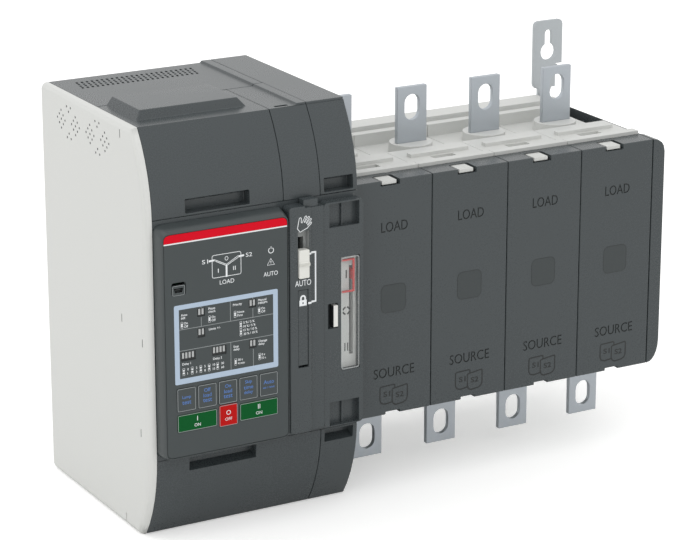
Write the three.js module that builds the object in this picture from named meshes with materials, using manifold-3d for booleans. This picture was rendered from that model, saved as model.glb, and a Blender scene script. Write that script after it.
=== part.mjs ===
// Automatic transfer switch: a motor mechanism with its controller on the left, and a row
// of changeover poles on the right. Each pole joins its load terminal to source 1 or source 2.
// All sizes are in millimetres. +X runs along the pole row, the front faces -Y and +Z is up.
// The origin is on the rear mounting plane, at mid height, where the mechanism meets the poles.

import * as THREE from "three";
import { mergeVertices } from "three/addons/utils/BufferGeometryUtils.js";
import Module from "manifold-3d";

const wasm = await Module();
wasm.setup();

// ---- driving dimensions ------------------------------------------------------------------

const gap = 0.3; // clearance between pieces that touch
const wall = 3; // moulded plastic walls
const sheet = 1.5; // folded steel of the side plate

// Mechanism housing
const mechanismWidth = 167.3;
const mechanismHeight = 300;
const mechanismDepth = 171;
const sidePlateWidth = 5.3;
const shoulderStart = 85; // height above the middle where the front starts to curve back
const shoulderRadius = 113;
const fasciaHalfHeight = 88;
const coverReturn = 84.5; // how far the rear edge of the covers' tops stands off the mounting plane
const middleCoverWidth = 29.5;
const terminalCoverWidth = 30;
const ridgeHeight = 1.5;
const ridgeWidth = 8.5; // on the middle cover; it carries on over the terminal cover
const ridgeSetback = 21; // from the front to where the ridge starts
const padHeight = 6;
const gripDepth = 9;
const gripFloor = 1.5;

// Pole row
const poleCount = 4;
const polePitch = 65;
const rowHeight = 179;
const rowDepth = 165;
const rowOffset = 1; // between the mechanism and the first pole
const poleCoverDepth = 19.7;
const endCoverWidth = 11;
const endCoverFootRadius = 18; // the taller rounding at the end cover's lower corner
const troughDepth = 7.5;
const latchOffset = 29.4; // from a pole housing's left side to its latch
const latchWidth = 12;

// Terminals
const terminalWidth = 25.5;
const terminalThickness = 4;
const terminalReach = 43; // how far a terminal stands out of the row
const sourceReach = 46.5;
const slotWidth = 13;
const slotLength = 20;
const slotMargin = 6; // from the terminal's end to its slot
const tongueStep = 0.2; // how far each face steps back where the terminal enters the row
const collarClear = 7.5; // height above the row at which a load terminal's palm starts

// Mounting
const baseThickness = 3;
const leftKeyholeInset = 14.5; // from the mechanism's right side
const footWidth = 27;
const footReach = 61; // how far a foot stands out of the base plate
const keyholeRadius = 7;
const keyholeNeck = 3.2;

// Drive
const shaftRadius = 7;
const shaftStandOff = 79; // from the mounting plane to the shaft's axis
const sourceOffset = 46; // from the shaft's axis to each row of source terminals
const toothModule = 1.75;
const gearTeeth = 40;
const pinionTeeth = 16;
const gearThickness = 6;
const changeoverTurn = Math.PI / 2; // from position I to position II

// Controller and operator panels
const controllerWidth = 97.6;
const controllerHeight = 164.8;
const controllerDrop = 1.8; // the controller's middle lies this far below the mechanism's
const controllerProud = 11; // how far the front panels stand out of the fascia
const keyTravel = 0.6;
const columnWidth = 28.4;
const indicatorWidth = 32.2;
const indicatorProud = 8.3;
const indicatorHeight = 168.5;

// ---- places worked out from them ---------------------------------------------------------

const mechanismRight = -rowOffset;
const mechanismLeft = mechanismRight - mechanismWidth;
const coverLeft = mechanismLeft + sidePlateWidth + gap;
const terminalCoverLeft = mechanismRight - terminalCoverWidth;
const middleCoverLeft = terminalCoverLeft - middleCoverWidth;
const top = mechanismHeight / 2;
const fasciaFront = -mechanismDepth;
const fasciaBack = fasciaFront + wall;
const ridgeFront = -(mechanismDepth - ridgeSetback);
const rowTop = rowHeight / 2;
const rowRight = poleCount * polePitch;
const housingFront = -(rowDepth - poleCoverDepth);
const housingBack = -(baseThickness + gap);
const shaftY = -shaftStandOff;
const gearRadius = (toothModule * gearTeeth) / 2;
const pinionRadius = (toothModule * pinionTeeth) / 2;
const indicatorMark = (gearRadius * changeoverTurn) / 2; // from the O mark to the I and II marks
const hubRadius = 2 * shaftRadius;
const armReach = hubRadius + 19.5;
const chamberRadius = armReach + 3;
const panelFront = fasciaFront - controllerProud;
const indicatorFront = fasciaFront - indicatorProud;
const panelBack = fasciaFront - gap;
const indicatorLeft = mechanismRight - indicatorWidth;
const columnRight = indicatorLeft - gap;
const columnLeft = columnRight - columnWidth;
const controllerRight = columnLeft - 1;
const controllerLeft = controllerRight - controllerWidth;
const controllerTop = controllerHeight / 2 - controllerDrop;
const controllerBottom = controllerTop - controllerHeight;

// ---- colours -----------------------------------------------------------------------------

const finishes = {
  darkPlastic: { color: 0x4f5555, roughness: 0.55, metalness: 0 },
  panelPlastic: { color: 0x454b4b, roughness: 0.5, metalness: 0 },
  lightSteel: { color: 0xd3d4d1, roughness: 0.45, metalness: 0.1 },
  bareSteel: { color: 0x9a9fa2, roughness: 0.35, metalness: 0.9 },
  whitePlastic: { color: 0xebece8, roughness: 0.5, metalness: 0 },
  tinnedCopper: { color: 0x9ba2a6, roughness: 0.35, metalness: 0.9 },
  copper: { color: 0xb87548, roughness: 0.35, metalness: 0.9 },
  motorBlack: { color: 0x2b2d2e, roughness: 0.5, metalness: 0.3 },
  boardGreen: { color: 0x1f5b3a, roughness: 0.5, metalness: 0 },
  keyGreen: { color: 0x085826, roughness: 0.4, metalness: 0 },
  keyRed: { color: 0xb41916, roughness: 0.4, metalness: 0 },
  clear: { color: 0xdfe8ea, roughness: 0.1, metalness: 0, transparent: true, opacity: 0.35 },
};

// ---- solids ------------------------------------------------------------------------------

// Turns a closed geometry into a solid that can be joined and cut.
function solid(geometry) {
  const bare = geometry.index ? geometry.toNonIndexed() : geometry.clone();
  bare.deleteAttribute("normal");
  bare.deleteAttribute("uv");
  const merged = mergeVertices(bare, 1e-4);
  return new wasm.Manifold(
    new wasm.Mesh({
      numProp: 3,
      vertProperties: new Float32Array(merged.attributes.position.array),
      triVerts: new Uint32Array(merged.index.array),
    }),
  );
}

function box(xLow, xHigh, yLow, yHigh, zLow, zHigh) {
  const geometry = new THREE.BoxGeometry(xHigh - xLow, yHigh - yLow, zHigh - zLow);
  geometry.translate((xLow + xHigh) / 2, (yLow + yHigh) / 2, (zLow + zHigh) / 2);
  return solid(geometry);
}

// Turns a prism drawn on the XY plane so that it stands along X, with its outline on YZ,
// or along Y, with its outline on ZX. Both are pure turns, so no face is turned inside out.
const alongX = new THREE.Matrix4().set(0, 0, 1, 0, 1, 0, 0, 0, 0, 1, 0, 0, 0, 0, 0, 1);
const alongY = new THREE.Matrix4().set(0, 1, 0, 0, 0, 0, 1, 0, 1, 0, 0, 0, 0, 0, 0, 1);

function prism(points, low, high) {
  const shape = new THREE.Shape(points.map(([u, v]) => new THREE.Vector2(u, v)));
  const geometry = new THREE.ExtrudeGeometry(shape, { depth: high - low, bevelEnabled: false });
  geometry.translate(0, 0, low);
  return geometry;
}

// Points are [y, z] for a prism along X and [x, z] for a prism along Y.
function prismX(points, xLow, xHigh) {
  return solid(prism(points, xLow, xHigh).applyMatrix4(alongX));
}

function prismY(points, yLow, yHigh) {
  const swapped = points.map(([x, z]) => [z, x]);
  return solid(prism(swapped, yLow, yHigh).applyMatrix4(alongY));
}

function arc(u, v, radius, from, to, steps) {
  const points = [];
  for (let step = 0; step <= steps; step += 1) {
    const angle = from + ((to - from) * step) / steps;
    points.push([u + radius * Math.cos(angle), v + radius * Math.sin(angle)]);
  }
  return points;
}

function circle(u, v, radius, sides) {
  return arc(u, v, radius, 0, 2 * Math.PI, sides).slice(0, sides);
}

function roundedRectangle(uLow, uHigh, vLow, vHigh, radius, steps = 3) {
  const quarter = Math.PI / 2;
  return [
    ...arc(uHigh - radius, vHigh - radius, radius, 0, quarter, steps),
    ...arc(uLow + radius, vHigh - radius, radius, quarter, 2 * quarter, steps),
    ...arc(uLow + radius, vLow + radius, radius, 2 * quarter, 3 * quarter, steps),
    ...arc(uHigh - radius, vLow + radius, radius, 3 * quarter, 4 * quarter, steps),
  ];
}

// A closed skin through outlines that all have the same number of points, stacked along one
// axis. Each ring is { at, points }; the two end rings are capped.
function stack(rings, place) {
  const count = rings[0].points.length;
  const outlines = rings.map(({ points }) => points.map(([u, v]) => new THREE.Vector2(u, v)));
  if (THREE.ShapeUtils.isClockWise(outlines[0])) {
    outlines.forEach((outline) => outline.reverse());
  }
  const positions = outlines.flatMap((outline, ring) => {
    return outline.map(({ x, y }) => place(x, y, rings[ring].at));
  });
  const faces = [];
  for (let ring = 0; ring + 1 < rings.length; ring += 1) {
    for (let corner = 0; corner < count; corner += 1) {
      const a = ring * count + corner;
      const b = ring * count + ((corner + 1) % count);
      faces.push([a, b, b + count], [a, b + count, a + count]);
    }
  }
  const last = (rings.length - 1) * count;
  for (const [a, b, c] of THREE.ShapeUtils.triangulateShape(outlines[0], [])) {
    faces.push([c, b, a]);
  }
  for (const [a, b, c] of THREE.ShapeUtils.triangulateShape(outlines.at(-1), [])) {
    faces.push([last + a, last + b, last + c]);
  }
  const geometry = new THREE.BufferGeometry();
  geometry.setAttribute("position", new THREE.Float32BufferAttribute(positions.flat(), 3));
  geometry.setIndex(faces.flat());
  return solid(geometry);
}

const root = new THREE.Group();

// Adds a finished solid to the model as a named mesh.
function add(name, shape, finish) {
  const data = shape.getMesh();
  const geometry = new THREE.BufferGeometry();
  geometry.setAttribute("position", new THREE.Float32BufferAttribute(data.vertProperties, 3));
  geometry.setIndex([...data.triVerts]);
  const mesh = new THREE.Mesh(geometry, new THREE.MeshStandardMaterial(finishes[finish]));
  mesh.name = name;
  root.add(mesh);
}

function cutAll(body, cutters) {
  return cutters.reduce((left, cutter) => left.subtract(cutter), body);
}

function joinAll(pieces) {
  return pieces.reduce((whole, piece) => whole.add(piece));
}

// ---- mechanism housing -------------------------------------------------------------------

// The housing's side view, moved in by an inset: flat at the front, curving back to a flat
// top and bottom. Points are [y, z], from the bottom rear round the front to the top rear.
function housingOutline(inset, rear = 0) {
  const centre = fasciaFront + shoulderRadius;
  const radius = shoulderRadius - inset;
  const height = top - inset;
  const turn = Math.asin((height - shoulderStart) / radius);
  return [
    [rear, -height],
    ...arc(centre, -shoulderStart, radius, Math.PI + turn, Math.PI, 6),
    ...arc(centre, shoulderStart, radius, Math.PI, Math.PI - turn, 6),
    [rear, height],
  ];
}

// The shell between the housing's outside and its inside, cut down to one box.
function housingShell(xLow, xHigh, yHigh, zLow, zHigh) {
  const shell = prismX(housingOutline(0), xLow, xHigh).subtract(
    prismX(housingOutline(wall, 1), xLow - 1, xHigh + 1),
  );
  return shell.intersect(box(xLow, xHigh, fasciaFront - 1, yHigh, zLow, zHigh));
}

function sidePlateHoles() {
  const xLow = mechanismLeft - 1;
  const xHigh = mechanismLeft + sidePlateWidth;
  const step = 3.3;
  const holeRadius = 1;
  const ventHeight = top - 19.3;
  const places = [];
  for (const y of [-34.4, -59, -83.8, -108.6]) {
    for (let row = -1; row <= 1; row += 1) {
      for (let column = -1; column <= 1; column += 1) {
        places.push([y + (row - column) * step, ventHeight + (row + column) * step]);
      }
    }
  }
  for (const y of [-47.6, -96.2]) {
    const rise = 2.45 * step;
    for (const side of [-1, 1]) {
      places.push([y, ventHeight + side * rise]);
      places.push([y - step, ventHeight + side * (rise + step)]);
      places.push([y + step, ventHeight + side * (rise + step)]);
    }
  }
  const holes = places.map(([y, z]) => prismX(circle(y, z, holeRadius, 6), xLow, xHigh));
  const slots = [
    [-133.6, top - 7.5],
    [-129.5, 7.6],
    [-162.5, -1.6],
    [-157, -70],
    [-129, -(top - 6.5)],
  ];
  for (const [y, z] of slots) {
    holes.push(box(xLow, xHigh, y - 0.5, y + 0.5, z - 3, z + 3));
  }
  return holes;
}

function sidePlate() {
  const rings = [
    { at: mechanismLeft, inset: 4 },
    { at: mechanismLeft + 1.2, inset: 1.2 },
    { at: mechanismLeft + 3.5, inset: 0 },
    { at: mechanismLeft + sidePlateWidth, inset: 0 },
  ];
  const outside = stack(
    rings.map(({ at, inset }) => ({ at, points: housingOutline(inset) })),
    (y, z, x) => [x, y, z],
  );
  const inside = prismX(
    housingOutline(4 + sheet, -sheet),
    mechanismLeft + sheet,
    mechanismLeft + sidePlateWidth + 1,
  );
  add("side_plate", cutAll(outside.subtract(inside), sidePlateHoles()), "lightSteel");
}

// A finger grip: a pocket in the cover's front that is taller at the mouth than at its back.
// Its sloping side faces away from the fascia: up on an upper cover, down on a lower one.
function gripPocket(xLow, xHigh, zLow, zHigh, upwards) {
  const mouth = fasciaFront - 1;
  const rear = fasciaFront + gripDepth;
  const slope = 4;
  const outline = [
    [mouth, zLow],
    [rear, zLow + (upwards ? 0 : slope)],
    [rear, zHigh - (upwards ? slope : 0)],
    [mouth, zHigh],
  ];
  return prismX(outline, xLow, xHigh);
}

// Adds a grip to a cover's front: a block behind the front, with the pocket cut into it.
function withGrip(cover, xLow, xHigh, zLow, zHigh, upwards) {
  const block = box(
    xLow - wall,
    xHigh + wall,
    fasciaFront + 1.5,
    fasciaFront + gripDepth + wall,
    zLow - wall,
    zHigh + wall,
  );
  const inside = block.intersect(prismX(housingOutline(0.5), xLow - 2 * wall, xHigh + 2 * wall));
  return cover.add(inside).subtract(gripPocket(xLow, xHigh, zLow, zHigh, upwards));
}

// The raised pad on the upper cover, with sloping sides to the left, right and front.
function topPad() {
  const xLow = coverLeft + 7;
  const xHigh = middleCoverLeft - 10;
  const yLow = fasciaFront + 36.5;
  const yHigh = -coverReturn;
  const slope = 4.7;
  const base = top - 1;
  const outline = (inset) => [
    [xLow + inset, yLow + inset],
    [xHigh - inset, yLow + inset],
    [xHigh - inset, yHigh],
    [xLow + inset, yHigh],
  ];
  const rings = [
    { at: base, points: outline(0) },
    { at: top, points: outline(0) },
    { at: top + padHeight, points: outline(slope) },
  ];
  return stack(rings, (x, y, z) => [x, y, z]);
}

function upperCover() {
  const xHigh = middleCoverLeft - gap;
  const seam = fasciaHalfHeight + gap;
  const shell = housingShell(coverLeft, xHigh, -coverReturn, seam, top + 1);
  const gripLow = seam + gripFloor;
  const gripped = withGrip(shell, coverLeft + 25.6, xHigh - 26.5, gripLow, gripLow + 11, true);
  const trimmed = gripped.intersect(box(coverLeft, xHigh, fasciaFront - 1, 0, seam, top + 1));
  add("upper_cover", trimmed.add(topPad()), "darkPlastic");
}

function lowerCover() {
  const xHigh = terminalCoverLeft - gap;
  const seam = -(fasciaHalfHeight + gap);
  const shell = housingShell(coverLeft, xHigh, -coverReturn, -top - 1, seam);
  const gripHigh = seam - gripFloor;
  const gripped = withGrip(shell, coverLeft + 25.6, coverLeft + 78.5, gripHigh - 11, gripHigh, false);
  const trimmed = gripped.intersect(box(coverLeft, xHigh, fasciaFront - 1, 0, -top, seam));
  add("lower_cover", trimmed, "darkPlastic");
}

// The raised ridge beside the terminal cover has a sloping left side.
function ridge(xStart, xEnd, yLow) {
  const outline = [
    [xStart, top - 1],
    [xStart, top],
    [xStart + ridgeHeight, top + ridgeHeight],
    [xEnd, top + ridgeHeight],
    [xEnd, top - 1],
  ];
  return prismY(outline, yLow, -gap);
}

// The rear of the top: vent slots on the left, and the ridge on the right.
function topPlate() {
  const xHigh = terminalCoverLeft - gap;
  const ridgeLeft = xHigh - ridgeWidth;
  const yLow = -(coverReturn - gap);
  const plate = box(coverLeft, xHigh, yLow, -gap, top - wall, top);
  const middleTop = box(middleCoverLeft, xHigh, yLow, -gap, top - wall, top + ridgeHeight + 1);
  const slots = [];
  const ventLow = -31;
  const ventHigh = -12;
  const lean = 3;
  const pitch = 4;
  const slotCount = 24;
  for (let index = 0; index < slotCount; index += 1) {
    const x = coverLeft + 13 + index * pitch;
    const outline = [
      [x, ventLow],
      [x + 1.8, ventLow],
      [x + 1.8 + lean, ventHigh],
      [x + lean, ventHigh],
    ];
    const slot = stack(
      [
        { at: top - wall - 1, points: outline },
        { at: top + 1, points: outline },
      ],
      (u, v, z) => [u, v, z],
    );
    slots.push(slot);
  }
  const ridgePart = ridge(ridgeLeft, xHigh, ridgeFront).intersect(middleTop);
  add("top_plate", cutAll(plate, slots).add(ridgePart), "darkPlastic");
}

function middleCover() {
  const xHigh = terminalCoverLeft - gap;
  const seam = fasciaHalfHeight + gap;
  const shell = housingShell(middleCoverLeft, xHigh, -coverReturn, seam, top + 1);
  const ridgeHere = ridge(xHigh - ridgeWidth, xHigh, ridgeFront).intersect(
    box(middleCoverLeft, xHigh, ridgeFront, -coverReturn, top - 1, top + ridgeHeight + 1),
  );
  const slot = box(middleCoverLeft + 6.5, middleCoverLeft + 16.5, -147.5, -144.5, top - wall - 1, top + 1);
  add("middle_cover", shell.add(ridgeHere).subtract(slot), "darkPlastic");
}

function bottomPlate() {
  const yLow = -(coverReturn - gap);
  const plate = box(coverLeft, terminalCoverLeft - gap, yLow, -gap, -top, -top + wall);
  add("bottom_plate", plate, "darkPlastic");
}

// A terminal cover: front, top or bottom, and the side wall that faces the poles.
function terminalCover(name, upper) {
  const seam = fasciaHalfHeight + gap;
  const shell = housingShell(terminalCoverLeft, mechanismRight, -gap, seam, top + 1);
  const side = prismX(housingOutline(0), mechanismRight - wall, mechanismRight).intersect(
    box(mechanismRight - wall, mechanismRight, fasciaFront - 1, -gap, seam, top),
  );
  const ridgeTop = top + ridgeHeight;
  const raised = box(terminalCoverLeft, mechanismRight, ridgeFront, -gap, top - 1, ridgeTop);
  const gripLow = seam + gripFloor;
  const pieces = upper ? [shell, side, raised] : [shell, side];
  const gripHeight = upper ? 11 : 10;
  const xLow = terminalCoverLeft + 3.2;
  const xHigh = mechanismRight - wall - 0.5;
  const gripped = withGrip(joinAll(pieces), xLow, xHigh, gripLow, gripLow + gripHeight, true);
  const trimmed = gripped.intersect(
    box(terminalCoverLeft, mechanismRight, fasciaFront - 1, -gap, seam, ridgeTop + 1),
  );
  add(name, upper ? trimmed : trimmed.mirror([0, 0, 1]), "darkPlastic");
}

// ---- front fascia and mechanism frame ----------------------------------------------------

// Places shared by the front panels, the fascia and the pieces that pass through them.
const slider = { x: columnLeft + 11.1, width: 8.4, low: 32.9, high: 53.9, travel: 13.3, stem: 4.2 };
const lock = { x: columnLeft + 10.6, width: 7.6, low: -32.2, high: 24, pull: 16, tongue: 5 };
const pointer = { right: mechanismRight - 5.9, left: mechanismRight - 16.7, armLeft: mechanismRight - 7.1 };
const controllerTub = { inset: 6, depth: 16 };

// The controller's front outline, drawn in from its edges: left, right, bottom and top.
function controllerBounds(inset) {
  return [
    controllerLeft + inset,
    controllerRight - inset,
    controllerBottom + inset,
    controllerTop - inset,
  ];
}

function stemSlot(yLow, yHigh) {
  const half = slider.stem / 2 + gap;
  const middle = (slider.low + slider.high) / 2;
  return box(slider.x - half, slider.x + half, yLow, yHigh, middle - 5.3, middle + 5.3 + slider.travel);
}

function tongueSlot(yLow, yHigh) {
  const half = lock.tongue / 2 + gap;
  return box(lock.x - half, lock.x + half, yLow, yHigh, lock.low + 5.7, lock.high - 5.7);
}

function pointerSlot(yLow, yHigh) {
  const reach = indicatorMark + 4 + 2;
  return box(pointer.armLeft - 1, pointer.right + 1, yLow, yHigh, -reach, reach);
}

function frontFascia() {
  const heights = [-fasciaHalfHeight, fasciaHalfHeight];
  const plate = box(coverLeft, mechanismRight, fasciaFront, fasciaBack, ...heights);
  const through = [fasciaFront - 1, fasciaBack + 1];
  const [left, right, low, high] = controllerBounds(controllerTub.inset - gap);
  const opening = box(left, right, ...through, low, high);
  const innerSide = mechanismRight - wall;
  const rearClearance = 10;
  const side = box(innerSide, mechanismRight, fasciaFront, -rearClearance, ...heights);
  const shaftHole = prismX(circle(shaftY, 0, shaftRadius + 1, 16), innerSide - 1, mechanismRight + 1);
  const slots = [stemSlot(...through), tongueSlot(...through), pointerSlot(...through)];
  add("front_fascia", cutAll(plate.add(side), [opening, shaftHole, ...slots]), "darkPlastic");
}

const frameRight = mechanismRight - wall - 2.2;
const frameLeft = frameRight - 26;
const frameSheet = 2.5;
const frameHalfHeight = 100;

function mechanismFrame() {
  const half = frameHalfHeight;
  const yLow = -(mechanismDepth - 27);
  const side = (xLow) => box(xLow, xLow + frameSheet, yLow, housingBack, -half, half);
  const web = box(frameLeft, frameRight, housingBack - frameSheet, housingBack, -half, half);
  const bore = prismX(circle(shaftY, 0, shaftRadius + 0.15, 24), frameLeft - 1, frameRight + 1);
  const centres = gearRadius + pinionRadius;
  const boss = prismX(circle(shaftY, centres, 8, 16), frameLeft - 1, frameLeft + frameSheet + 1);
  const whole = joinAll([side(frameLeft), side(frameRight - frameSheet), web]);
  add("mechanism_frame", cutAll(whole, [bore, boss]), "bareSteel");
}

// ---- rear mounting plate -----------------------------------------------------------------

const footHeight = fasciaHalfHeight + footReach;
const keyholeCentre = footHeight - 25.5;

// A keyhole through the plate: a round entry with a narrower slot above it, so that a foot
// hangs on its screw. The side is 1 for an upper foot and -1 for a lower one.
function keyhole(x, side) {
  const yLow = -(baseThickness + 8);
  const entry = prismY(circle(x, side * keyholeCentre, keyholeRadius, 16), yLow, 1);
  const high = side * keyholeCentre + 18;
  const neck = prismY(
    roundedRectangle(x - keyholeNeck, x + keyholeNeck, side * keyholeCentre, high, keyholeNeck),
    yLow,
    1,
  );
  return entry.add(neck);
}

// The mechanism's own back plate, and the plate behind the poles that carries the right feet.
function mountingPlates() {
  const seam = mechanismRight - wall - gap;
  const half = top - wall - 0.5;
  const leftHoles = [1, -1].map((side) => keyhole(mechanismRight - leftKeyholeInset, side));
  const back = box(coverLeft + gap, seam, -baseThickness, 0, -half, half);
  add("mechanism_back", cutAll(back, leftHoles), "tinnedCopper");

  const right = rowRight + endCoverWidth;
  const rowHalf = fasciaHalfHeight;
  const rowPart = box(seam + gap, right, -baseThickness, 0, -rowHalf, rowHalf);
  const footLeft = rowRight - 3;
  const footRight = footLeft + footWidth;
  const shoulder = rowHalf + 25;
  const feet = [1, -1].map((side) => {
    const headOutline = roundedRectangle(footLeft, footRight, rowHalf + 6, footHeight, 4);
    const neckOutline = [
      [rowRight + 2, rowHalf - 5],
      [right, rowHalf - 5],
      [footRight - 4, shoulder - 1],
      [rowRight + 2, shoulder - 1],
    ];
    const trim = box(footRight - 6, footRight + 1, -baseThickness - 1, 1, rowHalf, shoulder);
    const head = prismY(headOutline, -baseThickness, 0).subtract(trim);
    const foot = head.add(prismY(neckOutline, -baseThickness, 0));
    return side > 0 ? foot : foot.mirror([0, 0, 1]);
  });
  const rightHoles = [1, -1].map((side) => keyhole(footLeft + footWidth / 2, side));
  add("mounting_plate", cutAll(joinAll([rowPart, ...feet]), rightHoles), "tinnedCopper");
}

// ---- controller --------------------------------------------------------------------------

const faceInset = 0.6;
const caseFlare = { left: 2.1, right: 0.7, low: 1.8, high: 4.6 }; // towards the fascia
const faceFront = panelFront + 0.2;
const faceBack = panelFront + 1.1;
const recessFloor = faceBack + gap;

const smallKey = { count: 5, pitch: 16.2, width: 14.3, low: -49.7, high: -32.7 };
const firstKeyLeft = controllerLeft + 9;

function keyPlaces() {
  const places = [];
  for (let index = 0; index < smallKey.count; index += 1) {
    const xLow = firstKeyLeft + index * smallKey.pitch;
    places.push({
      name: `menu_key_${index + 1}`,
      finish: "panelPlastic",
      bounds: [xLow, xLow + smallKey.width, smallKey.low, smallKey.high],
    });
  }
  const rowRightEdge = firstKeyLeft + 4 * smallKey.pitch + smallKey.width;
  const offLeft = firstKeyLeft + 2 * smallKey.pitch + 0.2;
  const offRight = offLeft + smallKey.width;
  const bigKeys = [
    ["on_1_key", "keyGreen", firstKeyLeft, offLeft - 2, -65, -52.4],
    ["off_key", "keyRed", offLeft, offRight, -66.6, -50.8],
    ["on_2_key", "keyGreen", offRight + 2, rowRightEdge, -65, -52.4],
  ];
  for (const [name, finish, ...bounds] of bigKeys) {
    places.push({ name, finish, bounds });
  }
  return places;
}

function keyBlock(bounds, spare, yLow, yHigh) {
  const [xLow, xHigh, zLow, zHigh] = bounds;
  const outline = roundedRectangle(xLow - spare, xHigh + spare, zLow - spare, zHigh + spare, 1 + spare, 2);
  return prismY(outline, yLow, yHigh);
}

const usbPocket = [controllerLeft + 6.7, controllerLeft + 16.8, 36.1, 44.6];

// The case is widest at the fascia, and rounds over towards its face.
function caseBody() {
  const [left, right, low, high] = controllerBounds(0);
  const profile = [
    [0, 1],
    [0.5, 0.72],
    [0.78, 0.44],
    [0.93, 0.18],
    [1, 0],
  ];
  const rings = profile.map(([forward, flare]) => ({
    at: panelBack + forward * (panelFront - panelBack),
    points: roundedRectangle(
      left - flare * caseFlare.left,
      right + flare * caseFlare.right,
      low - flare * caseFlare.low,
      high + flare * caseFlare.high,
      4.5 + flare,
      4,
    ),
  }));
  return stack(rings, (x, z, y) => [x, y, z]);
}

function controllerCase() {
  const { inset, depth } = controllerTub;
  const [left, right, low, high] = controllerBounds(inset);
  const tubBack = fasciaBack + depth;
  const tub = box(left, right, panelBack - 1, tubBack, low, high);
  const inside = [left + wall, right - wall, panelBack - 5, tubBack + 1, low + wall, high - wall];
  const recessOutline = roundedRectangle(...controllerBounds(faceInset), 4);
  const recess = prismY(recessOutline, panelFront - 1, recessFloor);
  const keyPockets = keyPlaces().map(({ bounds }) => {
    return keyBlock(bounds, gap, recessFloor - 1, recessFloor + keyTravel + 0.6);
  });
  const usbOpening = keyBlock(usbPocket, 0, recessFloor - 1, panelBack);
  const cutters = [box(...inside), recess, usbOpening, ...keyPockets];
  add("controller_case", cutAll(caseBody().add(tub), cutters), "panelPlastic");
}

function controllerFace() {
  const outline = roundedRectangle(...controllerBounds(faceInset + gap), 3.7);
  const holes = keyPlaces().map(({ bounds }) => keyBlock(bounds, gap, faceFront - 1, faceBack + 1));
  const usbOpening = keyBlock(usbPocket, 0.5, faceFront - 1, faceBack + 1);
  const membrane = prismY(outline, faceFront, faceBack);
  add("controller_face", cutAll(membrane, [usbOpening, ...holes]), "panelPlastic");
}

function keys() {
  for (const { name, finish, bounds } of keyPlaces()) {
    add(name, keyBlock(bounds, 0, faceFront - 0.3, recessFloor + 0.2), finish);
  }
}

function controlBoard() {
  const [left, right, low, high] = controllerBounds(controllerTub.inset + wall + gap);
  const yLow = fasciaBack + 4;
  add("control_board", box(left, right, yLow, yLow + 1.6, low, high), "boardGreen");
}

// ---- operator panel, with its slider, padlock slide and release tab ----------------------

const recessDepth = 5;
const operatorTop = 85.5;
const operatorBottom = -83.9;
const columnEdge = columnLeft + 17.7;

function operatorPanel() {
  const column = prismY(
    roundedRectangle(columnLeft, columnEdge, operatorBottom, operatorTop, 3),
    panelFront,
    panelBack,
  );
  const stripHeights = [operatorBottom + 1, operatorTop - 2];
  const strip = box(columnEdge - 4, columnRight, panelFront + 2, panelBack, ...stripHeights);
  const sliderHalf = slider.width / 2 + gap;
  const sliderRecess = box(
    slider.x - sliderHalf,
    slider.x + sliderHalf,
    panelFront - 1,
    panelFront + recessDepth,
    slider.low - gap,
    slider.high + slider.travel + gap,
  );
  const lockHalf = lock.width / 2 + gap;
  const lockRecess = box(
    lock.x - lockHalf,
    lock.x + lockHalf,
    panelFront - 1,
    panelFront + recessDepth,
    lock.low - 1.6,
    lock.high + gap,
  );
  const through = [panelFront, panelBack + 1];
  const tabRoom = box(
    releaseTab.left - gap,
    releaseTab.right + gap,
    panelFront + 3 - gap,
    panelBack + 1,
    releaseTab.low - 2.5,
    operatorTop + 1,
  );
  const tabNotch = box(
    releaseTab.left - gap,
    releaseTab.right + gap,
    panelFront - 1,
    panelFront + 3,
    releaseTab.low + 2.2,
    operatorTop + 1,
  );
  const slots = [stemSlot(...through), tongueSlot(...through)];
  const cutters = [sliderRecess, lockRecess, ...slots, tabRoom, tabNotch];
  add("operator_panel", cutAll(column.add(strip), cutters), "darkPlastic");
}

function modeSlider() {
  const half = slider.width / 2;
  const back = panelFront + recessDepth - gap;
  const middle = (slider.low + slider.high) / 2;
  const sides = [slider.x - half, slider.x + half];
  const knob = box(...sides, panelFront - 1.5, back, slider.low, slider.high);
  const rib = box(...sides, panelFront - 2.5, panelFront, middle - 1.5, middle + 1.5);
  const stem = box(
    slider.x - slider.stem / 2,
    slider.x + slider.stem / 2,
    back - 1,
    fasciaBack + 3,
    middle - 5,
    middle + 5,
  );
  add("mode_slider", joinAll([knob, rib, stem]), "whitePlastic");
}

function padlockSlide() {
  const half = lock.width / 2;
  const back = panelFront + recessDepth - gap;
  const head = box(lock.x - half, lock.x + half, panelFront + 0.5, back, lock.low, lock.high);
  const tongueHalf = lock.tongue / 2;
  const tongue = box(
    lock.x - tongueHalf,
    lock.x + tongueHalf,
    back - 1,
    fasciaBack + 20,
    lock.low + 6,
    lock.high - 6,
  );
  const holeRadius = 3.5;
  const holeY = panelFront + lock.pull - holeRadius - 1;
  const hole = prismX(circle(holeY, -1, holeRadius, 12), lock.x - half - 1, lock.x + half + 1);
  add("padlock_slide", head.add(tongue).subtract(hole), "panelPlastic");
}

const releaseTab = { left: columnLeft + 12.6, right: columnRight - 4.2, low: 82, high: 89.2 };

function releaseTabPiece() {
  const tab = box(
    releaseTab.left,
    releaseTab.right,
    panelFront + 3,
    panelBack - 0.6,
    releaseTab.low,
    releaseTab.high,
  );
  add("release_tab", tab, "darkPlastic");
}

// ---- indicator panel, with its window, pointer and interlock tab -------------------------

const windowReach = indicatorMark + 15.1;
const windowBounds = [mechanismRight - 18, mechanismRight - 2.7, -windowReach, windowReach];
const windowFront = indicatorFront + 0.3;
const windowBack = windowFront + 1;
const labelFront = panelBack - 2;
const interlockSlot = { left: indicatorLeft + 3.4, right: indicatorLeft + 11.4, low: -9.5, high: 9.2 };

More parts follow.
